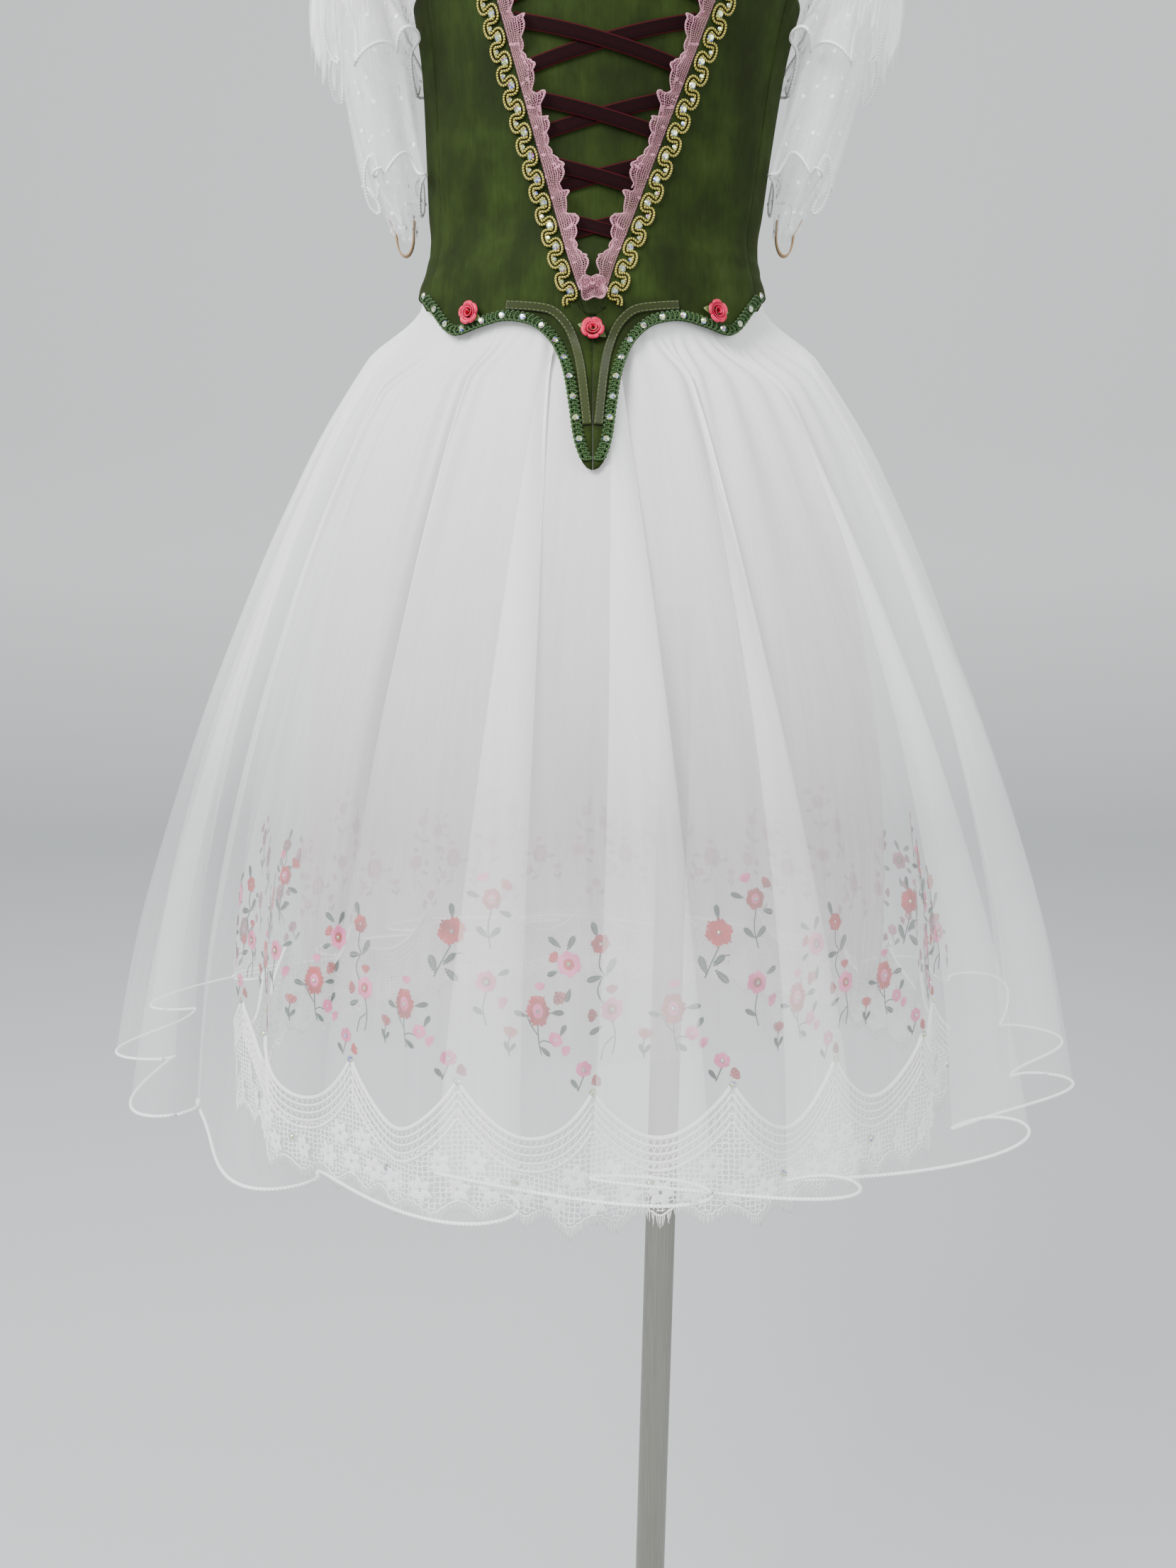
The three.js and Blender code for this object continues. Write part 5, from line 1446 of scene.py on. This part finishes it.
class DRESS_OT_stage(bpy.types.Operator):
    """Make the pale floor and backdrop, the soft lights and the camera"""

    bl_idname = "dress.stage"
    bl_label = "Stage"

    def execute(self, context):
        scene = context.scene
        # The floor runs back and turns up into the backdrop along a quarter circle
        turn = np.linspace(0, np.pi / 2, 24)
        y = np.concatenate([[-9000.0, 0.0], 4600 + 1900 * np.sin(turn), [6500.0]])
        z = np.concatenate([[0.0, 0.0], 1900 - 1900 * np.cos(turn), [8000.0]])
        x = np.linspace(-11000, 11000, 9)
        flat, quads, _, _ = grid(stacked(x[None], y[::-1][:, None], z[::-1][:, None]))
        mesh = bpy.data.meshes.new("backdrop")
        mesh.from_pydata((flat / 1000).tolist(), [], quads.tolist())
        backdrop = bpy.data.objects.new("backdrop", mesh)
        for face in mesh.polygons:
            face.use_smooth = True
        floor = tuple(scene.dress_colours.backdrop)
        paper, tree, bsdf = material("Painted plaster pale grey", Roughness=0.9,
                                     Specular_IOR_Level=0.1, Base_Color=floor)
        # The wall stands far from the lights, so it is painted paler than the floor up to 1.2 m:
        # painted light for the light that does not reach it
        rise = node(tree, "ShaderNodeSeparateXYZ", Vector=pattern_at(tree, "Object", (1, 1, 1)))
        height = node(tree, "ShaderNodeMapRange", Value=rise.outputs["Z"],
                      From_Min=0.0, From_Max=1.2)
        painted_wall_light = node(tree, "ShaderNodeMix", {"data_type": "RGBA"},
                     Factor=height.outputs["Result"], A=floor, B=colour("e6e8e8"))
        tree.links.new(painted_wall_light.outputs[2], bsdf.inputs["Base Color"])
        mesh.materials.append(paper)
        scene.collection.objects.link(backdrop)

        world = bpy.data.worlds.new("Studio")
        scene.world = world
        world.use_nodes = True
        world.node_tree.nodes["Background"].inputs["Color"].default_value = colour("eceeef")
        world.node_tree.nodes["Background"].inputs["Strength"].default_value = 1.3
        for name, place, aim, size, power in (
                ("key_light", (-1.7, -1.8, 2.8), (0, 0, 1.1), 1.6, 150),
                ("fill_light", (1.9, -1.8, 1.6), (0, 0, 1.0), 1.6, 30),
                ("back_light", (0.4, 1.2, 2.9), (0, 0.1, 1.1), 1.4, 32)):
            lamp = bpy.data.lights.new(name, "AREA")
            lamp.size = size
            lamp.energy = power
            light = bpy.data.objects.new(name, lamp)
            light.location = place
            light.rotation_mode = "QUATERNION"
            light.rotation_quaternion = (Vector(aim) - Vector(place)).to_track_quat("-Z", "Y")
            scene.collection.objects.link(light)

        camera = bpy.data.cameras.new("camera")
        camera.sensor_width = 36
        camera.lens = 1923 / 2212 * 36
        camera.clip_start = 0.05
        viewer = bpy.data.objects.new("camera", camera)
        viewer.location = (-0.003, -1.04, 1.03)
        viewer.rotation_euler = (np.radians(82), 0, 0)
        scene.collection.objects.link(viewer)
        scene.camera = viewer
        scene.cycles.transparent_max_bounces = 48
        return {"FINISHED"}


class DRESS_OT_stand(bpy.types.Operator):
    """Make the dress form, its neck cap, the steel pole and the round base"""

    bl_idname = "dress.stand"
    bl_label = "Form and stand"

    def execute(self, context):
        add_piece("form_body", form_shape(), "jersey", ["form_torso"])
        cap_z = np.array([1668.9, 1668.8, 1668.2, 1667.0])
        cap = turned_profile(np.array([20.0, 33.0, 35.5, 36.2]), cap_z, middle_x(1668.0), 0.0)
        add_piece("neck_cap", capped(cap), "casting")
        heights = np.concatenate([np.linspace(1019.7, 34, 40), [33.6, 33.2, 20, 14, 12.4]])
        radii = np.full(len(heights), POLE_RADIUS)
        radii[41:] = [17.5, 18.0, 18.6, 24.0]
        pole = turned_profile(radii, heights, POLE_FOOT_X, POLE_LEAN)
        add_piece("steel_pole", capped(pole), "steel", ["pole"])
        edge = np.linspace(0, np.pi / 2, 10)
        radii = np.concatenate([[60, 120, 146], 150 + 10 * np.sin(edge), [160, 159.3]])
        heights = np.concatenate([[12, 12, 11.8], 1.5 + 10 * np.cos(edge), [0.6, 0.0]])
        base = turned_profile(radii, heights, POLE_FOOT_X, 0.0, 128)
        add_piece("steel_base", capped(base), "steel", ["base_disc"])
        return {"FINISHED"}


class DRESS_OT_bodice(bpy.types.Operator):
    """Make the nine velvet pieces of the bodice and the bias tapes with their stitching"""

    bl_idname = "dress.bodice"
    bl_label = "Bodice"

    def execute(self, context):
        for side, sign in SIDES:
            for kind in ("front", "back"):
                piece = add_piece(f"velvet_{kind}_{side}", panel_shape(kind, sign),
                                  "velvet", [f"bodice_{kind}_{side}"])
            piece = add_piece(f"velvet_side_{side}", side_panel_shape(sign), "velvet",
                              [f"bodice_side_{side}"])
            piece = add_piece(f"velvet_strap_{side}", strap_shape(sign), "velvet",
                              [f"strap_{side}"])
            line = TAPE_LINE * np.array([sign, 1])
            tape = laid_strip(line, 120, VELVET + 1.1, 2.9, 1.0, 0.25)
            tape_piece = add_piece(f"tape_{side}", tape, "tape", [f"bias_tape_{side}"])
            # A row of stitches 2 mm long just inside each edge of the tape
            at = rounded(line, 118)
            along = unit(np.gradient(at, axis=0))
            rows = []
            for shift in (-2.2, 2.2):
                edge = at + shift * np.stack([-along[:, 1], along[:, 0]], -1)
                start = on_bodice(edge[0:-1:3, 0], edge[0:-1:3, 1], VELVET + 1.75)
                end = on_bodice(edge[2::3, 0], edge[2::3, 1], VELVET + 1.75)
                n = min(len(start), len(end))
                out = bodice_normal(edge[0:-1:3, 0], edge[0:-1:3, 1])[:n, None]
                rows.append(cords(straight(start[:n], end[:n]), 0.28, out, 4))
            add_piece(f"tape_stitches_{side}", joined(rows), "tape_stitch")
        piece = add_piece("velvet_plastron", plastron_shape(), "velvet",
                          ["bodice_plastron"])
        return {"FINISHED"}


class DRESS_OT_skirts(bpy.types.Operator):
    """Make the organza skirt with its corded hem, the embroidered tulle skirt and the petticoat"""

    bl_idname = "dress.skirts"
    bl_label = "Skirts"

    def execute(self, context):
        sizes = context.scene.dress_sizes
        depth, overlap = sizes.fold_depth * 1000, sizes.fold_overlap * 1000
        shape, hem = hung(lambda a, z: organza_point(a, z, depth, overlap), organza_hem_z, 72, 1000)
        organza = add_piece("organza_skirt", shape, "organza", ["skirt_organza"])
        cord = ring_cord(hem, sizes.hem_cord * 500, outward(full_turn(1000)))
        hem_cord = add_piece("organza_hem_cord", cord, "hem_cord")
        shape, _ = hung(lambda a, z: tulle_point(a, z, 0.0), lambda a: TULLE_HEM_Z + 0 * a, 50, 560)
        tulle = add_piece("tulle_skirt", shape, "tulle", ["skirt_tulle_embroidered"])

        # Ten shallow waves that deepen to the hem, crushed by 61 fine ones
        def petticoat_point(a, z):
            drop = skirt_top(a) - z
            wave = 5 * ease(drop / 500) * fold_wave(fold_turn(a, 10, 0.5, 2))
            crush = 1.6 * ease((drop - 40) / 200) * np.cos(61 * a + 2 * np.sin(5 * a) + z / 60)
            return on_section(skirt_section(a, z, "petticoat"), a, z, wave + crush)

        shape, _ = hung(petticoat_point, lambda a: 735 + 0 * a, 40, 560)
        net = add_piece("petticoat_skirt", shape, "petticoat", ["petticoat"])
        return {"FINISHED"}


class DRESS_OT_lace(bpy.types.Operator):
    """Make the guipure border: its ground, corded scallops, bars, flowers and eyelash fringe"""

    bl_idname = "dress.lace"
    bl_label = "Lace border"

    def execute(self, context):
        # Five lines, each lower than the one before it, and a little more so at the peaks
        rise = LACE_PEAK_Z - LACE_VALLEY_Z
        lines = [lambda a, d=d: lace_top(a) - d * (1 + 0.12 * (lace_top(a) - LACE_VALLEY_Z) / rise)
                 for d in (0, 5, 10, 15, 20)]
        for name, start in (("front", -np.pi / 2), ("back", np.pi / 2)):
            angle = start + np.linspace(0.0006, np.pi - 0.0006, 420)[None]
            v = np.linspace(0, 1, 14)[:, None]
            top, low = lace_top(angle) - 15, lace_low(angle) + 2
            z = top + (low - top) * v
            uv = stacked(angle * STITCH_RADIUS / 1000, z / 1000)
            ground = add_piece(f"lace_ground_{name}", grid(lace_point(angle, z, 0.3), uv),
                               "lace_net", [f"lace_border_{name}"])
            a = angle[0]
            band = []
            for k, line in enumerate(lines):
                paths = lace_point(a, line(a), 0.5)
                band.append(cords(paths, (1.5, 0.85, 0.85, 0.85, 1.0)[k], outward(a), 5))
            zigzag = lace_low(a) + 1.2 * np.cos(a * 400)
            band.append(cords(lace_point(a, zigzag, 0.5), 0.7, outward(a), 4))
            cords_piece = add_piece(f"lace_cords_{name}", joined(band), "lace_cord")
        bars = []
        for k in range(4):
            for lean in (-0.8, 0.8):
                bars.append(lace_bars(420, lines[k], lines[k + 1], lean))
        add_piece("lace_bars", joined(bars), "lace_cord")

        # Flowers of six petals, 18 mm across, in two rows
        places, outs, turns = [], [], []
        for height, shift, count in ((669.5, 0.0, 80), (685.5, 0.5, 80)):
            a = (np.arange(count) + shift) / count * TURN
            keep = height + 7 < lace_top(a) - 16
            places.append(lace_point(a[keep], height + 0 * a[keep], 0.7))
            outs.append(outward(a[keep]))
            turns.append(np.arange(count)[keep] * 0.7)
        places, outs, turns = (np.concatenate(v) for v in (places, outs, turns))
        flowers = stamped(flower_shape(6, 8.2, 5.4), places, axes_from(outs, turn=turns))
        add_piece("lace_flowers", flowers, "lace_cord")

        # Eyelash fringe: a strand every 1.4 mm, 6 to 9 mm long, each leaning its own way
        rng = np.random.default_rng(7)
        a = np.arange(1200) / 1200 * TURN
        length = 6.6 + 2.0 * np.abs(np.sin(LACE_SCALLOPS * 1.5 * a)) + rng.uniform(-0.6, 0.6, 1200)
        sway = rng.uniform(-1.6, 1.6, 1200) / STITCH_RADIUS
        t = np.array([0.0, 0.5, 1.0])[None]
        z = lace_low(a)[:, None] + 1 - length[:, None] * t
        paths = lace_point(a[:, None] + sway[:, None] * t ** 1.5, z, 0.4 + 0.5 * t)
        out = np.broadcast_to(outward(a)[:, None], paths.shape)
        strands = cords(paths, np.array([0.42, 0.38, 0.2])[None], out, 3)
        add_piece("lace_fringe", strands, "lace_cord")

        # A stone at each peak and one low in each scallop
        k = np.arange(LACE_SCALLOPS)
        peaks = k / LACE_SCALLOPS * TURN
        low = (k + 0.42) / LACE_SCALLOPS * TURN
        places = np.concatenate([
            lace_point(peaks, lace_top(peaks) - 1, 1.2),
            lace_point(low, TULLE_HEM_Z + 0 * low, 1.5)])
        outs = np.concatenate([outward(peaks), outward(low)])
        stones = stamped(stone_shape(2.5), places, axes_from(outs))
        add_piece("lace_stones", stones, "stone", sharp=True)
        return {"FINISHED"}


class DRESS_OT_embroidery(bpy.types.Operator):
    """Make the bouquets of satin stitch on the tulle skirt and the stones in their flowers"""

    bl_idname = "dress.embroidery"
    bl_label = "Embroidery"

    def execute(self, context):
        step = TURN / LACE_SCALLOPS
        stones = []
        shapes = {"red": [], "pink": [], "green": []}
        for kind, first in (("lilac", 0), ("poppy", 1)):
            angles = np.arange(first, LACE_SCALLOPS, 2) * step - 0.02
            colours, centres = sprig(kind)
            for name, rows in zip(shapes, colours):
                shapes[name].append(stitch_mesh(rows, angles))
            for x, z in centres:
                stones.append(np.stack([angles + x / STITCH_RADIUS, z + 0 * angles], -1))
        for name, parts in shapes.items():
            add_piece(f"embroidery_{name}", joined(parts), f"emb_{name}")
        at = np.concatenate(stones)
        places = tulle_point(at[:, 0], at[:, 1], 1.2)
        stones = stamped(stone_shape(1.35), places, axes_from(outward(at[:, 0])))
        add_piece("embroidery_stones", stones, "stone", sharp=True)
        return {"FINISHED"}


class DRESS_OT_sleeves(bpy.types.Operator):
    """Make the dotted tulle sleeves with their flounces, corded edges, frayed fans and elastics"""

    bl_idname = "dress.sleeves"
    bl_label = "Sleeves"

    def execute(self, context):
        rows = (
            ("upper", 0.5, 2.6, 15.0, 9.0, 8, 0.17),
            ("middle", 1.9, 4.0, 13.0, 9.0, 8, 0.17),
            ("lower", 3.5, 5.6, 7.0, 7.5, 7, 0.18),
        )
        for side, sign in SIDES:
            points, uv = sleeve_skin(sign)
            skin = add_piece(f"sleeve_tulle_{side}", sided(points, uv, sign, True),
                             "sleeve", [f"sleeve_{side}"])
            wide = points if sign > 0 else points[:, ::-1]
            dots = [dots_on(wide, 6)]
            edges = []
            for name, start, end, flare, depth, waves, lean in rows:
                points, uv = flounce_shape(sign, start, end, flare, depth, waves, lean)
                piece = add_piece(f"frill_{name}_{side}", sided(points, uv, sign, True),
                                  "sleeve", [f"flounce_{name}_{side}"])
                wide = points if sign > 0 else points[:, ::-1]
                dots.append(dots_on(wide, 10))
                rim = points[-1]
                out = unit(rim - rim.mean(axis=0)) + np.array([0, 0, 0.01])
                edges.append(ring_cord(rim, 1.2, np.cross(unit(np.roll(rim, -1, 0) - rim), out), 5))
            add_piece(f"frill_edges_{side}", joined(edges), "hem_cord")
            add_piece(f"sleeve_dots_{side}", joined(dots), "dots")
            points, uv = frayed_fan(sign)
            fan = add_piece(f"sleeve_fan_{side}", sided(points, uv, sign, False), "sleeve")
            loop = add_piece(f"elastic_{side}", elastic_shape(sign), "elastic",
                             [f"arm_elastic_{side}"])
        return {"FINISHED"}


class DRESS_OT_front(bpy.types.Operator):
    """Make the V's gold braids with their stones, the pink frills and the crossed ribbons"""

    bl_idname = "dress.front"
    bl_label = "Braids, frills and ribbons"

    def execute(self, context):
        sizes = context.scene.dress_sizes
        slope = np.hypot(1, V_SLOPE)
        length = (NECK_Z - 4 - V_POINT_Z - 8) * slope
        stone = stone_shape(sizes.stone_width * 500)
        for side, sign in SIDES:
            paths, out, loops = braid_paths(sign, length, sizes.braid_pitch * 1000)
            shape = joined([cords(path, BRAID_CORD, out, 6) for path in paths])
            add_piece(f"braid_{side}", shape, "gold", [f"gold_braid_{side}"])
            # A stone fills each loop on the frill's side, and a smaller one each outer loop
            k = np.arange(loops)
            s = length * (k + 0.5) / loops
            x, z = braid_frame(sign, s, -1.6 + 0 * s)
            places = on_bodice(x, z, VELVET + 1.6)
            axes = axes_from(bodice_normal(x, z), turn=k * 0.9)
            stones = stamped(stone, places, axes)
            add_piece(f"braid_stones_{side}", stones, "stone", sharp=True)
            s = length * k[1:] / loops
            x, z = braid_frame(sign, s, 1.8 + 0 * s)
            axes = axes_from(bodice_normal(x, z), turn=k[1:] * 1.7)
            beads = stamped(stone_shape(1.7), on_bodice(x, z, VELVET + 1.2), axes)
            add_piece(f"braid_beads_{side}", beads, "stone", sharp=True)
            points, uv = frill_shape(sign)
            edge = points[-1]
            wide = (points, uv) if sign < 0 else (points[:, ::-1], uv[:, ::-1])
            frill = add_piece(f"frill_lace_{side}", grid(*wide), "pink_net",
                              [f"lace_frill_{side}"])
            out = np.broadcast_to(np.array([0.2 * sign, -1.0, 0.1]), edge.shape)
            rims = joined([cords(edge, 0.5, out, 5), cords(points[9], 0.35, out, 4)])
            rim = add_piece(f"frill_rim_{side}", rims, "pink_cord")
        points, uv = bow_shape()
        bow = add_piece("frill_bunch", grid(points, uv), "pink_net")
        out = np.broadcast_to([0, -1.0, 0.1], points[-1].shape)
        rim = add_piece("frill_bunch_rim", cords(points[-1], 0.5, out, 5), "pink_cord")
        for k, crossing in enumerate((1271, 1303, 1340, 1383, 1429)):
            for layer, lean, lift in (("under", 1, VELVET + 1.3), ("over", -1, VELVET + 2.7)):
                share = np.linspace(-1, 1, 9)
                along = 1 - np.sign(share) * lean * RIBBON_SLOPE * V_SLOPE
                x = share * (v_half(crossing) - 7.5) / along
                line = np.stack([x, crossing + lean * RIBBON_SLOPE * x], -1)
                half = min(sizes.ribbon_width * 1000, v_half(crossing) * 0.36) / 2
                name = f"ribbon_{k + 1}_{layer}"
                band = laid_strip(line, 60, lift, half, 0.9, 0.25)
                piece = add_piece(f"velvet_{name}", band, "ribbon", [name])
                length = np.linalg.norm(np.diff(line, axis=0), axis=1).sum() / 1000
        return {"FINISHED"}


class DRESS_OT_basque(bpy.types.Operator):
    """Make the looped gimp with its stones round the basque and the three ribbon roses"""

    bl_idname = "dress.basque"
    bl_label = "Gimp and roses"

    def execute(self, context):
        sizes = context.scene.dress_sizes
        stone = stone_shape(2.35)
        for side, sign in SIDES:
            for face, back in (("front", False), ("back", True)):
                paths, out, line = gimp_paths(sign, back)
                add_piece(f"gimp_cord_{face}_{side}", cords(paths, GIMP_CORD, out, 4),
                          "gimp", [f"gimp_{face}_{side}"])
                at = resampled(line, 10 if back else 15)[1:]
                places = on_bodice(sign * at[:, 0], at[:, 1], VELVET + 2.9, back)
                axes = axes_from(bodice_normal(sign * at[:, 0], at[:, 1], back), turn=at[:, 0])
                add_piece(f"gimp_stones_{face}_{side}", stamped(stone, places, axes),
                          "stone", sharp=True)
        radius = sizes.rose_width * 500
        places = (("left", -83, 1218), ("middle", 0, 1203), ("right", 84, 1219))
        for k, (name, x, z) in enumerate(places):
            x, z = np.array([float(x)]), np.array([float(z)])
            axes = axes_from(bodice_normal(x, z), turn=0.4 + 1.9 * k)
            foot = on_bodice(x, z, VELVET + 3.2)
            rose = stamped(rose_shape(radius * 0.98, 6.4), foot, axes)
            add_piece(f"ribbon_rose_{name}", rose, "rose", [f"rose_{name}"])
            leaves = [stamped(leaf_shape(10.5, 5.4), foot, axes_from(bodice_normal(x, z), turn=a))
                      for a in ((-2.1, 1.2) if k != 2 else (-1.5, 1.4))]
            add_piece(f"rose_leaves_{name}", joined(leaves), "leaf")
        return {"FINISHED"}


OPERATORS = (
    DRESS_OT_materials, DRESS_OT_stage, DRESS_OT_stand, DRESS_OT_bodice, DRESS_OT_skirts,
    DRESS_OT_lace, DRESS_OT_embroidery, DRESS_OT_sleeves, DRESS_OT_front, DRESS_OT_basque,
)


class DRESS_PT_panel(bpy.types.Panel):
    """Lists the dress's settings and the steps that make it"""

    bl_idname = "DRESS_PT_panel"
    bl_label = "Ballet dress"
    bl_space_type = "VIEW_3D"
    bl_region_type = "UI"
    bl_category = "Dress"

    def draw(self, context):
        for group in (context.scene.dress_sizes, context.scene.dress_colours):
            for name in group.__annotations__:
                self.layout.prop(group, name)
        for step in OPERATORS:
            self.layout.operator(step.bl_idname)


CLASSES = (DressSizes, DressColours, *OPERATORS, DRESS_PT_panel)


def register():
    for made in CLASSES:
        bpy.utils.register_class(made)
    bpy.types.Scene.dress_sizes = bpy.props.PointerProperty(type=DressSizes)
    bpy.types.Scene.dress_colours = bpy.props.PointerProperty(type=DressColours)


def unregister():
    del bpy.types.Scene.dress_colours
    del bpy.types.Scene.dress_sizes
    for made in reversed(CLASSES):
        bpy.utils.unregister_class(made)


def main():
    register()
    for step in OPERATORS:
        group, name = step.bl_idname.split(".")
        getattr(getattr(bpy.ops, group), name)()


if __name__ == "__main__":
    main()
